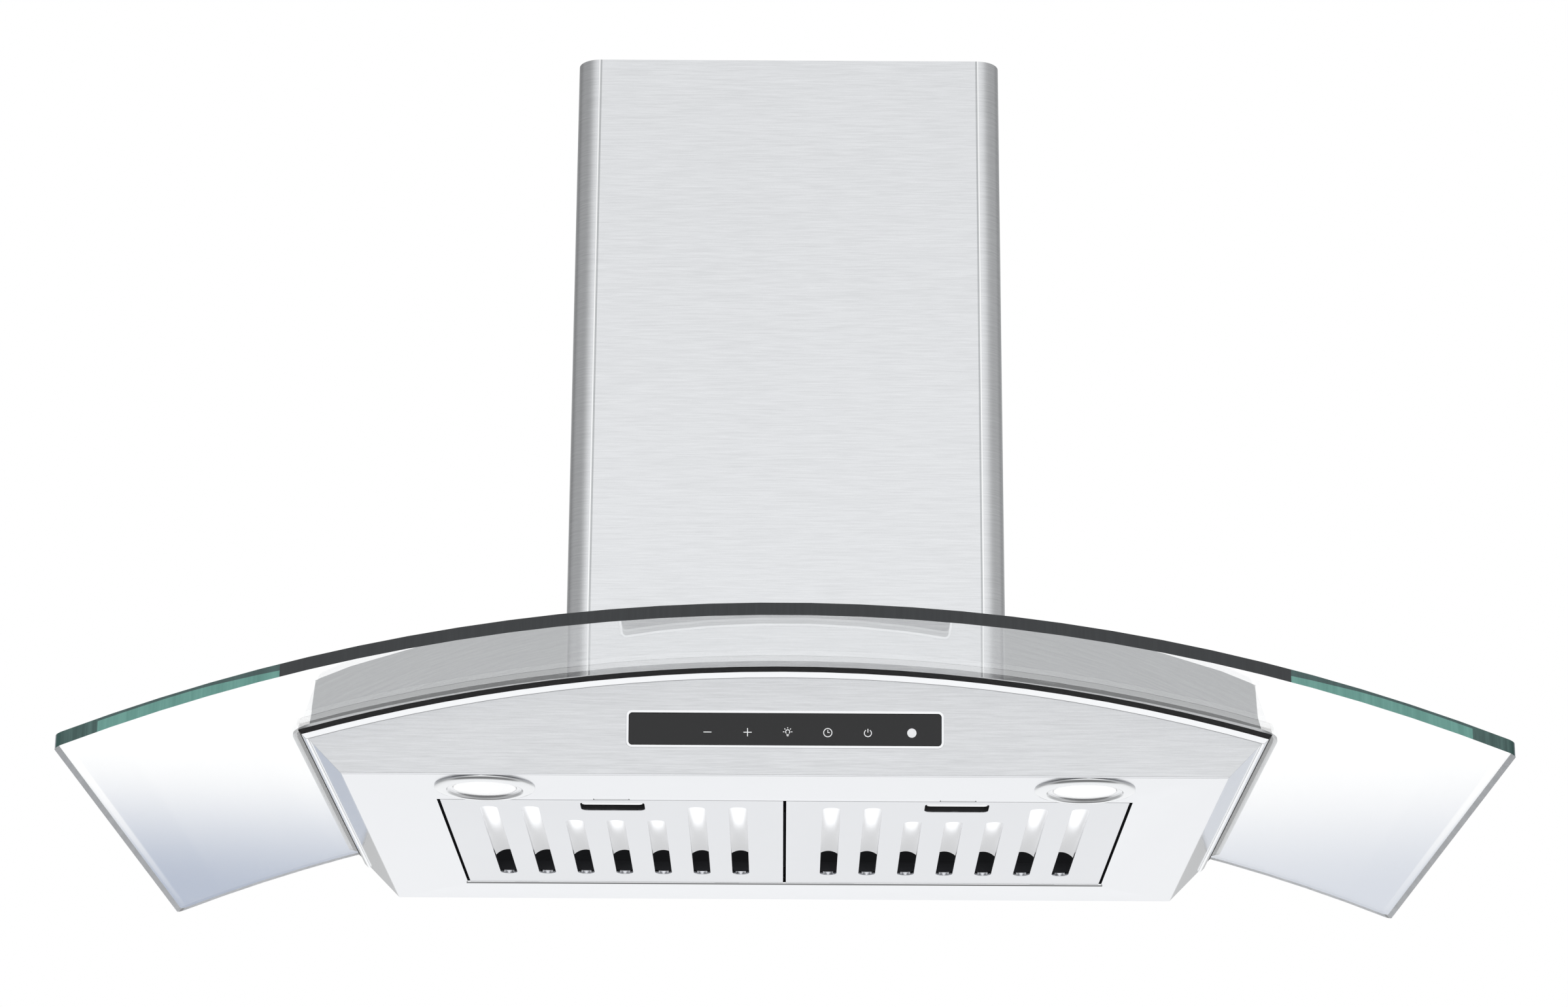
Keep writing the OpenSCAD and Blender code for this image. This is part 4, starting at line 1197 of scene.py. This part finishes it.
@dataclass
class GlassCanopy:
    """The bent glass, with its ground front edge in bands of different depth of colour, and a
    painted dark reflection in its middle stretch.
    """

    arris: float = 0.6 * MM
    # Half the width of the middle stretch of the front edge that gets the painted dark reflection
    dark_half: float = 313 * MM
    streak: float = 26.4 * MM
    corner: float = 22 * MM
    line: float = 1.2 * MM
    side_rim: float = 20 * MM
    back_rim: float = 2 * MM
    least_edge: float = 3 * MM
    same_plane: float = 0.2 * MM
    patches: int = 8
    split: tuple[float, float] = (0.50, 0.80)
    growth: float = 2.2
    finishes: tuple[Finish, ...] = (
        SHEET_GLASS,
        EDGE_PAINTED_REFLECTION,
        EDGE_GREEN,
        EDGE_UPPER,
        EDGE_DEEP,
        EDGE_LINE,
        EDGE_PALE,
    )

    def share(self, across: float, end: float) -> float:
        """How much of the edge's height is the paler band, at a distance from the middle.

        Args:
            across: the distance from the middle.
            end: where the corners' deeper colour starts.

        Returns:
            The share, from 0 to 1.
        """
        way = self.growth * (across - self.dark_half) / (end - self.dark_half)
        least, most = self.split
        return least + (most - least) * min(max(way, 0.0), 1.0)

    def band(self, middle: Vector, upper: bool, end: float) -> Finish:
        """The finish of one patch of the front edge.

        Args:
            middle: the patch's middle.
            upper: whether it lies in the upper row.
            end: where the corners' deeper colour starts.

        Returns:
            The patch's finish.
        """
        across = abs(middle.x)
        # The middle stretch is a painted reflection of the dark parts behind the edge
        if across < self.dark_half:
            return EDGE_PAINTED_REFLECTION
        if across > end:
            return EDGE_DEEP
        return EDGE_UPPER if upper else EDGE_GREEN

    def flat_front(self, shape: Shape, front: float) -> list[Face]:
        """The faces of the flat front edge."""
        facing = (face for face in shape.faces if face.normal.y < -0.95)
        return [f for f in facing if abs(f.calc_center_median().y - front) < self.same_plane]

    def rows(self, shape: Shape, front: float, end: float) -> None:
        """Splits the flat front edge in two rows, and numbers their faces.

        Args:
            shape: the glass.
            front: the Y of its front edge.
            end: where the corners' deeper colour starts.
        """
        step = (end - self.dark_half) / self.patches
        for k in range(self.patches + 1):
            for way in (-1, 1):
                cut_upright(shape, self.flat_front(shape, front), way * (self.dark_half + k * step))
        flat = self.flat_front(shape, front)
        posts = dict.fromkeys(edge for face in flat for edge in face.edges if self.upright(edge))
        marks = set()
        for post in posts:
            foot = min(post.verts, key=lambda vert: vert.co.z)
            share = self.share(abs(foot.co.x), end)
            marks.add(bmesh.utils.edge_split(post, foot, share)[1])
        for face in flat:
            ends = [vert for vert in face.verts if vert in marks]
            if len(ends) == 2 and abs(face.calc_center_median().x) > self.dark_half:
                bmesh.utils.face_split(face, *ends)
        for face in self.flat_front(shape, front):
            middle = face.calc_center_median()
            ends = [vert.co.z for vert in face.verts if vert in marks]
            upper = bool(ends) and middle.z > sum(ends) / len(ends)
            face.material_index = self.finishes.index(self.band(middle, upper, end))

    def is_rim(self, face: Face, high: Vector) -> bool:
        """Whether a face lies on the sides or the back of the rim, not in a hole.

        Args:
            face: the face.
            high: the highest corner of the glass's box.

        Returns:
            Whether the face is such a one.
        """
        middle = face.calc_center_median()
        turned = abs(face.normal.x) > 0.8 or face.normal.y > 0.9
        outer = abs(middle.x) > high.x - self.side_rim or middle.y > high.y - self.back_rim
        return turned and abs(face.normal.z) < 0.5 and outer

    def upright(self, edge: Edge) -> bool:
        """Whether an edge stands upright across the glass's thickness."""
        first, second = (vert.co for vert in edge.verts)
        return abs(first.x - second.x) < 0.01 * MM and abs(first.z - second.z) > self.least_edge

    def build(self, bench: Bench) -> None:
        """Rounds the glass, and gives each part of its front edge its finish.

        Args:
            bench: the bench that pieces are built on.
        """
        shape = bench.shape_of("glass_canopy")
        low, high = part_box("glass_canopy")
        end = high.x - self.streak
        bench.soften(shape, self.arris)
        shape.normal_update()
        self.rows(shape, low.y, end)
        shape.normal_update()
        for face in shape.faces:
            middle = face.calc_center_median()
            if self.is_rim(face, high):
                face.material_index = self.finishes.index(EDGE_PALE)
            if face.material_index or middle.y > low.y + self.corner or face.normal.y > -0.1:
                continue
            if middle.y < low.y + self.line and 0.2 < abs(face.normal.z) < 0.97:
                face.material_index = self.finishes.index(EDGE_LINE)
            elif abs(middle.x) > end and abs(face.normal.z) < 0.5:
                face.material_index = self.finishes.index(EDGE_DEEP)
        weigh(bench.place("glass_canopy_sheet", shape, "glass_canopy", *self.finishes))


@dataclass
class ControlPanel:
    """The touch panel: bezel, dark glass and its generic lit symbols."""

    symbol_row: float = -2.2 * MM
    pitch: float = 26.1 * MM
    first: float = -50.5 * MM
    stroke: float = 0.55 * MM
    ink: float = 0.04 * MM
    lift: float = 0.06 * MM
    dot: float = 3.0 * MM
    dot_x: float = 82.5 * MM
    bezel_radius: float = 0.25 * MM
    glass_radius: float = 0.3 * MM

    def plane(self, bench: Bench) -> Matrix:
        """The middle of the glass's face: its Z is the face's normal, its Y runs up.

        Args:
            bench: the bench that pieces are built on.

        Returns:
            The plane's matrix.
        """
        mesh = bench.frame["nodes"]["control_glass"].data
        face = max((p for p in mesh.polygons if p.normal.y < -0.5), key=lambda p: p.area)
        low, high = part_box("control_glass")
        normal = face.normal.normalized()
        right = Vector((1, 0, 0))
        up = normal.cross(right).normalized()
        middle_z = (low.z + high.z) / 2
        start = face.center
        middle = start + up * ((middle_z - start.z) / up.z)
        middle.x = 0.0
        turn = Matrix((right, up, normal)).transposed().to_4x4()
        return Matrix.Translation(middle + normal * self.lift) @ turn

    def strokes(self) -> dict[str, list[list[Point2]]]:
        """Each symbol's lines, in millimetres about its own middle.

        Returns:
            The lines by the symbol's name.
        """
        ring = arc((0, 0), 2.7, 90, 450, 32)
        bulb = arc((0, 0.4), 1.35, -50, 230, 20)
        near, far = (arc((0, 0.4), radius, 0, 180, 4) for radius in (2.2, 3.0))
        return {
            "minus": [[(-2.6, 0), (2.6, 0)]],
            "plus": [[(-2.7, 0), (2.7, 0)], [(0, -2.7), (0, 2.7)]],
            "lamp": [
                bulb,
                *(list(ray) for ray in zip(near, far)),
                [(-0.8, -1.5), (0.8, -1.5)],
                [(-0.55, -2.2), (0.55, -2.2)],
            ],
            "clock": [ring, [(0, 1.7), (0, 0), (1.3, 0)]],
            "power": [arc((0, -0.2), 2.3, 125, 415, 28), [(0, 0.2), (0, 2.6)]],
        }

    def ribbon(self, shape: Shape, points: list[Point2], place: Matrix, middle: Point2) -> None:
        """Lays one flat line of a symbol.

        Args:
            shape: the shape that the line is added to.
            points: the line's points in millimetres.
            place: the panel's plane.
            middle: the symbol's middle on the plane, in metres.
        """
        half = self.stroke / 2
        rows = []
        for k, point in enumerate(points):
            before, after = points[max(k - 1, 0)], points[min(k + 1, len(points) - 1)]
            run = Vector((after[0] - before[0], after[1] - before[1])).normalized()
            side = Vector((-run.y, run.x)) * half
            here = Vector(point) * MM + Vector(middle)
            rows.append([shape.verts.new(place @ Vector((*(here + side * s), 0))) for s in (-1, 1)])
        for first, second in zip(rows, rows[1:]):
            shape.faces.new([first[0], second[0], second[1], first[1]])

    def build(self, bench: Bench) -> None:
        """Rounds the bezel and the glass, and lays the symbols.

        Args:
            bench: the bench that pieces are built on.
        """
        bench.rounded("control_bezel", self.bezel_radius, BRIGHT, steps=3)
        bench.rounded("control_glass", self.glass_radius, PANEL_GLASS)
        place = self.plane(bench)
        for k, (name, lines) in enumerate(self.strokes().items()):
            shape = bmesh.new()
            for line in lines:
                self.ribbon(shape, line, place, (self.first + k * self.pitch, self.symbol_row))
            self.finish_symbol(bench, f"symbol_{name}", shape)
        shape = bmesh.new()
        rim = arc((self.dot_x, self.symbol_row), self.dot, 0, 352.5, 47)
        shape.faces.new([shape.verts.new(place @ Vector((*point, 0))) for point in rim])
        self.finish_symbol(bench, "symbol_dot", shape)

    def finish_symbol(self, bench: Bench, name: str, shape: Shape) -> None:
        """Gives a symbol a little thickness and sets it on the glass.

        Args:
            bench: the bench that pieces are built on.
            name: the symbol's name.
            shape: the shape to work on.
        """
        piece = bench.place(name, shape, "control_glass", SYMBOL, stands_for=False)
        solid = piece.modifiers.new("ink", "SOLIDIFY")
        solid.thickness = self.ink
        solid.offset = 1.0


@dataclass
class Lamp:
    """A round lamp: a domed trim ring round a frosted lens."""

    side: Side
    lens_radius: float = 20.6 * MM
    lens_dome: float = 0.6 * MM
    inner_radius: float = 26 * MM
    dome: float = 2.4 * MM
    flange_back: float = 3 * MM
    can_radius: float = 27.7 * MM
    # Small steps in mm: outward from the lens to the ring's floor, then up to the dome
    seat: tuple[Point2, ...] = ((0.2, 2.6), (0.4, 2.1), (0.8, 1.9))
    wall: tuple[Point2, ...] = ((1.9, 1.9), (1.5, 1.7), (0.9, 0.6), (0.5, 0.1))
    steps: int = 128

    @staticmethod
    def quarter(start: float, reach: float, height: float) -> list[Point2]:
        """A quarter of an oval: outward from a radius, and rising from zero."""
        turns = [math.radians(angle) for angle in range(0, 91, 6)]
        return [(start + reach * math.sin(t), height - height * math.cos(t)) for t in turns]

    def build(self, bench: Bench) -> None:
        """Turns the ring and the lens, and places them in the panel.

        Args:
            bench: the bench that pieces are built on.
        """
        word = self.side.word
        low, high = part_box(f"lamp_{word}_trim")
        centre = Vector(((low.x + high.x) / 2, (low.y + high.y) / 2, low.z))
        outer = (high.x - low.x) / 2
        rise = high.z - low.z
        profile = [
            (self.lens_radius + self.seat[0][0] * MM, rise),
            *((self.lens_radius + out * MM, up * MM) for out, up in self.seat),
            *((self.inner_radius - back * MM, up * MM) for back, up in self.wall),
            *self.quarter(self.inner_radius, outer - self.inner_radius, self.dome),
            (outer, self.flange_back),
            (self.can_radius, self.flange_back),
            (self.can_radius, rise),
        ]
        ring = lathe(profile, centre, self.steps)
        weigh(bench.place(f"lamp_{word}_ring", ring, f"lamp_{word}_trim", SOFT_CHROME))
        low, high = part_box(f"lamp_{word}_lens")
        centre.z = low.z
        crown = high.z - low.z
        curve = [*self.quarter(0.0, self.lens_radius, self.lens_dome)]
        curve += [(self.lens_radius, crown), (0.0, crown)]
        lens = lathe(curve, centre, self.steps, close=False)
        bench.place(f"lamp_{word}_diffuser", lens, f"lamp_{word}_lens", LENS)


@dataclass
class BaffleFilter:
    """A slotted filter with its upper baffles, hooks and finger latch."""

    side: Side
    rim_radius: float = 0.35 * MM
    baffle_radius: float = 0.175 * MM
    slider_radius: float = 0.5 * MM
    pocket_radius: float = 0.4 * MM
    sheet: float = 1 * MM
    inner_facing: float = 0.7
    ceiling_facing: float = 0.45

    def build(self, bench: Bench) -> None:
        """Rounds the tray, the baffles and the latch, and adds its spring.

        Args:
            bench: the bench that pieces are built on.
        """
        word = self.side.word
        low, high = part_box(f"filter_{word}_tray")

        def inner_rear(face: Face) -> int:
            """1 for the inner side of the tray's rear wall, which gets painted shade, and 0 for the
            rest.

            Args:
                face: the face.

            Returns:
                The number of the face's finish.
            """
            middle = face.calc_center_median()
            over_floor = middle.z > low.z + self.sheet * 1.5
            rear = middle.y > high.y - 2 * self.sheet
            return int(over_floor and rear and face.normal.y < -self.inner_facing)

        def ceiling(face: Face) -> int:
            """1 for the undersides of the baffles, which get painted light, and 0 for the rest."""
            return int(face.normal.z < -self.ceiling_facing)

        tray, baffles = f"filter_{word}_tray", f"filter_{word}_baffles"
        # The inner rear wall of the tray gets painted shade
        bench.rounded(tray, self.rim_radius, STEEL_TRAY, STEEL_PAINTED_SHADE, choose=inner_rear)
        radius = self.baffle_radius
        # The baffles' undersides get painted light, the rest the plain baffle steel
        bench.rounded(baffles, radius, STEEL_BAFFLE, STEEL_PAINTED_LIGHT, choose=ceiling, even=False)
        bench.rounded(f"latch_{word}_slider", self.slider_radius, SOFT_CHROME, steps=3)
        bench.rounded(f"latch_{word}_pocket", self.pocket_radius, BLACK)
        self.spring(bench)

    def spring(self, bench: Bench) -> None:
        """A smooth-shaded copy of the latch spring, in the node's place.

        Args:
            bench: the bench that pieces are built on.
        """
        node = f"latch_{self.side.word}_spring"
        shape = bmesh.new()
        shape.from_mesh(bench.frame["nodes"][node].data)
        for face in shape.faces:
            face.smooth = True
        coil = bench.place(f"{node}_coil", shape, node)
        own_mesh(coil)


@dataclass
class Chimney:
    """The lower chimney and the upper one that slides in it."""

    edge: float = 0.3 * MM
    fold_radius: float = 16 * MM
    # Width of the painted dark reflection line; the painted highlight line is a share of it
    mark: float = 1.3 * MM
    bright_share: float = 0.7
    facing: float = 0.9

    def build(self, bench: Bench) -> None:
        """Rounds the cut ends of both sheets, and paints a highlight line and a dark reflection line
        at the folds beside the front.

        Args:
            bench: the bench that pieces are built on.
        """
        shape = bench.shape_of("lower_chimney")
        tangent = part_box("lower_chimney")[1].x - self.fold_radius
        # Edges of the painted dark reflection line and of the painted highlight line
        marks = (tangent - self.mark, tangent, tangent + self.mark * self.bright_share)
        for x in (way * mark for mark in marks for way in (-1, 1)):
            cut_upright(shape, shape.faces, x)

        def fold(face: Face) -> int:
            """1 in the painted dark reflection line beside a fold, 2 in the painted highlight line
            on it, or 0.

            Args:
                face: the face.

            Returns:
                The number of the face's finish.
            """
            across = abs(face.calc_center_median().x)
            if face.normal.y >= -self.facing or not marks[0] < across < marks[2]:
                return 0
            return 1 if across < marks[1] else 2

        finishes = (STEEL_CHIMNEY, FOLD_PAINTED_REFLECTION, FOLD_PAINTED_HIGHLIGHT)
        bench.rounded("lower_chimney", self.edge, *finishes, choose=fold, shape=shape)
        bench.rounded("upper_chimney", self.edge, STEEL_CHIMNEY)


@dataclass
class Innards:
    """Every CAD node that shows as it is: fixings, airbox, blower, dampers and wiring boxes."""

    def build(self, bench: Bench) -> None:
        """Dresses each node that nothing stands for.

        Args:
            bench: the bench that pieces are built on.
        """
        for name, node in bench.frame["nodes"].items():
            if not node.hide_render:
                bench.dress_node(name)


# ---- studio ----


@dataclass(frozen=True)
class Fade:
    """A soft change of light along one axis: where it starts and ends, and both levels."""

    start: float
    end: float
    first: float = 0.0
    last: float = 1.0

    def on(self, graph: Graph, along: Socket) -> Socket:
        """The light's level, from the way along the axis."""
        return graph.spread(along, self.start, self.end, self.first, self.last)


@dataclass
class Studio:
    """Camera, soft light, white surround and floor."""

    eye: tuple[float, float, float] = (0.0007, -2.7709, -0.8120)
    pitch: float = 17.77
    yaw: float = -0.054
    roll: float = -0.324
    lens: float = 86.36
    sensor: float = 36.0
    clip: tuple[float, float] = (0.1, 60.0)

    floor_z: float = -1.785
    floor_half: float = 28.0
    floor_grey: float = 0.93
    floor_roughness: float = 0.7

    left: Fade = Fade(-0.85, -0.16, 0.42, 1.0)
    right: Fade = Fade(0.24, 0.95, 1.0, 0.47)
    rise: Fade = Fade(0.26, 0.42, 1.02, 0.87)
    under: Fade = Fade(-0.86, -0.66, 0.22, 1.0)
    wall: Fade = Fade(0.0, 0.8)
    horizon: Fade = Fade(0.0, 0.15)
    shade: Fade = Fade(0.0, 1.0, 1.0, 0.55)
    room_tint: Colour = (0.985, 0.993, 1.0)

    # Painted tint on what is seen through the glass; the glass itself has no such haze
    haze: Colour = (0.20, 0.27, 0.42)
    haze_rise: Fade = Fade(0.202, 0.239)
    haze_sides: Fade = Fade(-0.15, 0.15, 1.0, 0.6)
    clear_level: float = 1.12

    card_y: float = 60 * MM
    card_half: float = 372 * MM
    card_foot: float = -91.3 * MM
    card_tip: float = 365.5 * MM
    card_eaves: float = -44.6 * MM
    card_shoulder: float = 340 * MM
    card_crown: float = 22.6 * MM
    card_bend: float = 1050 * MM
    card_steps: int = 6
    card_tint: Colour = (0.97, 0.99, 1.0)
    card_level: float = 0.345

    def camera(self) -> None:
        """Sets the camera below the hood, looking up at its front."""
        pitch, yaw, roll = (math.radians(a) for a in (self.pitch, self.yaw, self.roll))
        level = math.cos(pitch)
        forward = Vector((math.sin(yaw) * level, math.cos(yaw) * level, math.sin(pitch)))
        across = Vector((math.cos(yaw), -math.sin(yaw), 0))
        down = forward.cross(across)
        right = across * math.cos(roll) + down * math.sin(roll)
        up = across * math.sin(roll) - down * math.cos(roll)
        data = bpy.data.cameras.new("camera")
        data.lens = self.lens
        data.sensor_width = self.sensor
        data.sensor_fit = "HORIZONTAL"
        data.clip_start, data.clip_end = self.clip
        camera = bpy.data.objects.new("camera", data)
        bpy.context.scene.collection.objects.link(camera)
        turn = Matrix((right, up, -forward)).transposed().to_4x4()
        camera.matrix_world = Matrix.Translation(self.eye) @ turn
        bpy.context.scene.camera = camera

    def card_outline(self) -> list[Point2]:
        """The card's outline from the front: a bowed top, short slopes and plain sides.

        Returns:
            Its corners in order, as distances across and up.
        """
        bow = []
        for step in range(-self.card_steps, self.card_steps + 1):
            across = self.card_shoulder * step / self.card_steps
            drop = self.card_bend - math.sqrt(self.card_bend**2 - across**2)
            bow.append((across, self.card_crown - drop))
        left = [(-self.card_half, self.card_foot), (-self.card_tip, self.card_eaves)]
        right = [(-across, up) for across, up in reversed(left)]
        return [*left, *bow, *right]

    def card(self) -> None:
        """A grey card on the wall that shows only through the glass."""
        shape = bmesh.new()
        outline = self.card_outline()
        shape.faces.new([shape.verts.new((across, self.card_y, up)) for across, up in outline])
        card = new_object("wall_card", shape)
        made = bpy.data.materials.new("card_grey")
        made.use_nodes = True
        made.node_tree.nodes.clear()
        graph = Graph(made.node_tree)
        glow = graph.add("ShaderNodeEmission", Color=rgba(self.card_tint), Strength=self.card_level)
        graph.add("ShaderNodeOutputMaterial", Surface=glow.outputs[0])
        card.data.materials.append(made)
        card.visible_camera = card.visible_diffuse = False
        card.visible_glossy = card.visible_shadow = False

    def floor(self) -> None:
        """A plain pale floor, well under the hood."""
        shape = bmesh.new()
        ways = ((-1, -1), (1, -1), (1, 1), (-1, 1))
        spots = [(self.floor_half * x, self.floor_half * y, self.floor_z) for x, y in ways]
        shape.faces.new([shape.verts.new(spot) for spot in spots])
        floor = new_object("floor", shape)
        made = bpy.data.materials.new("pale_floor")
        made.use_nodes = True
        grey = rgba((self.floor_grey, self.floor_grey, self.floor_grey))
        shader = made.node_tree.nodes["Principled BSDF"]
        Graph(made.node_tree).set(shader, Base_Color=grey, Roughness=self.floor_roughness)
        floor.data.materials.append(made)
        floor.visible_glossy = False

    def surround(self) -> None:
        """White seen directly; a soft room with darker sides seen in the metal."""
        world = bpy.data.worlds.new("studio")
        bpy.context.scene.world = world
        world.use_nodes = True
        world.node_tree.nodes.clear()
        graph = Graph(world.node_tree)
        way = graph.add("ShaderNodeTexCoord").outputs["Generated"]
        east, north, up = graph.add("ShaderNodeSeparateXYZ", Vector=way).outputs
        # The wall behind the hood is darker, but only over the horizon
        behind = graph.sum("MULTIPLY", self.wall.on(graph, north), self.horizon.on(graph, up))
        level = self.left.on(graph, east)
        sides = (self.right.on(graph, east), self.rise.on(graph, up), self.under.on(graph, up))
        for share in (*sides, self.shade.on(graph, behind)):
            level = graph.sum("MULTIPLY", level, share)
        # Only what is seen through the glass gets a painted blue-grey tint, low down and more to the
        # left, and a level of its own
        path = graph.add("ShaderNodeLightPath")
        seen = path.outputs["Is Transmission Ray"]
        near = graph.sum("SUBTRACT", 1.0, self.haze_rise.on(graph, up))
        thick = graph.sum("MULTIPLY", near, self.haze_sides.on(graph, east))
        through = graph.sum("SUBTRACT", 1.0, thick)
        cool = graph.mix(through, rgba(self.haze), rgba((1.0, 1.0, 1.0)))
        tint = graph.mix(seen, rgba(self.room_tint), cool)
        dry = graph.sum("MULTIPLY", level, graph.sum("SUBTRACT", 1.0, seen))
        level = graph.sum("ADD", dry, graph.sum("MULTIPLY", seen, self.clear_level))
        room = graph.add("ShaderNodeBackground", Color=tint, Strength=level)
        white = graph.add("ShaderNodeBackground", Color=rgba((1.0, 1.0, 1.0)), Strength=1.0)
        choose = graph.add("ShaderNodeMixShader")
        shares = (path.outputs["Is Camera Ray"], room.outputs[0], white.outputs[0])
        for socket, value in zip(choose.inputs, shares):
            graph.feed(socket, value)
        graph.add("ShaderNodeOutputWorld", Surface=choose.outputs[0])

    def lamp(self, name: str, place: Sequence[float], size: float, energy: float) -> None:
        """One soft light that aims at the hood and doesn't show in the metal.

        Args:
            name: the light's name.
            place: where it stands.
            size: the side of its square face.
            energy: its power.
        """
        data = bpy.data.lights.new(name, "AREA")
        data.size, data.energy = size, energy
        light = bpy.data.objects.new(name, data)
        bpy.context.scene.collection.objects.link(light)
        light.location = place
        aim = Vector((0, -0.25, 0)) - Vector(place)
        light.rotation_mode = "QUATERNION"
        light.rotation_quaternion = aim.to_track_quat("-Z", "Y")
        light.visible_glossy = light.visible_transmission = light.visible_camera = False

    def build(self) -> None:
        """Sets up everything round the hood."""
        bpy.context.scene.view_settings.view_transform = "Standard"
        self.camera()
        self.surround()
        self.floor()
        self.card()
        self.lamp("key_light", place=(-1.8, -2.6, 1.6), size=2.4, energy=16.0)
        self.lamp("low_light", place=(1.4, -2.2, -1.5), size=2.0, energy=8.0)


def clear_scene() -> None:
    """Removes whatever the new file came with."""
    for thing in list(bpy.data.objects):
        bpy.data.objects.remove(thing)


def corners(box: Iterable[Vector]) -> list[list[float]]:
    """A box's two corners as plain lists."""
    return [[float(x) for x in corner] for corner in box]


def main() -> None:
    """Builds the hood round its frame, then its studio."""
    logging.basicConfig(level=logging.INFO, format="%(name)s: %(message)s")
    clear_scene()
    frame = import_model()
    bench = Bench(frame)
    assemblies = [
        CanopyBody(),
        GlassCanopy(),
        ControlPanel(),
        *(Lamp(side) for side in Side),
        *(BaffleFilter(side) for side in Side),
        Chimney(),
        Innards(),
    ]
    for assembly in assemblies:
        assembly.build(bench)
        LOG.info("built %s", type(assembly).__name__)
    Studio().build()


if __name__ == "__main__":
    main()
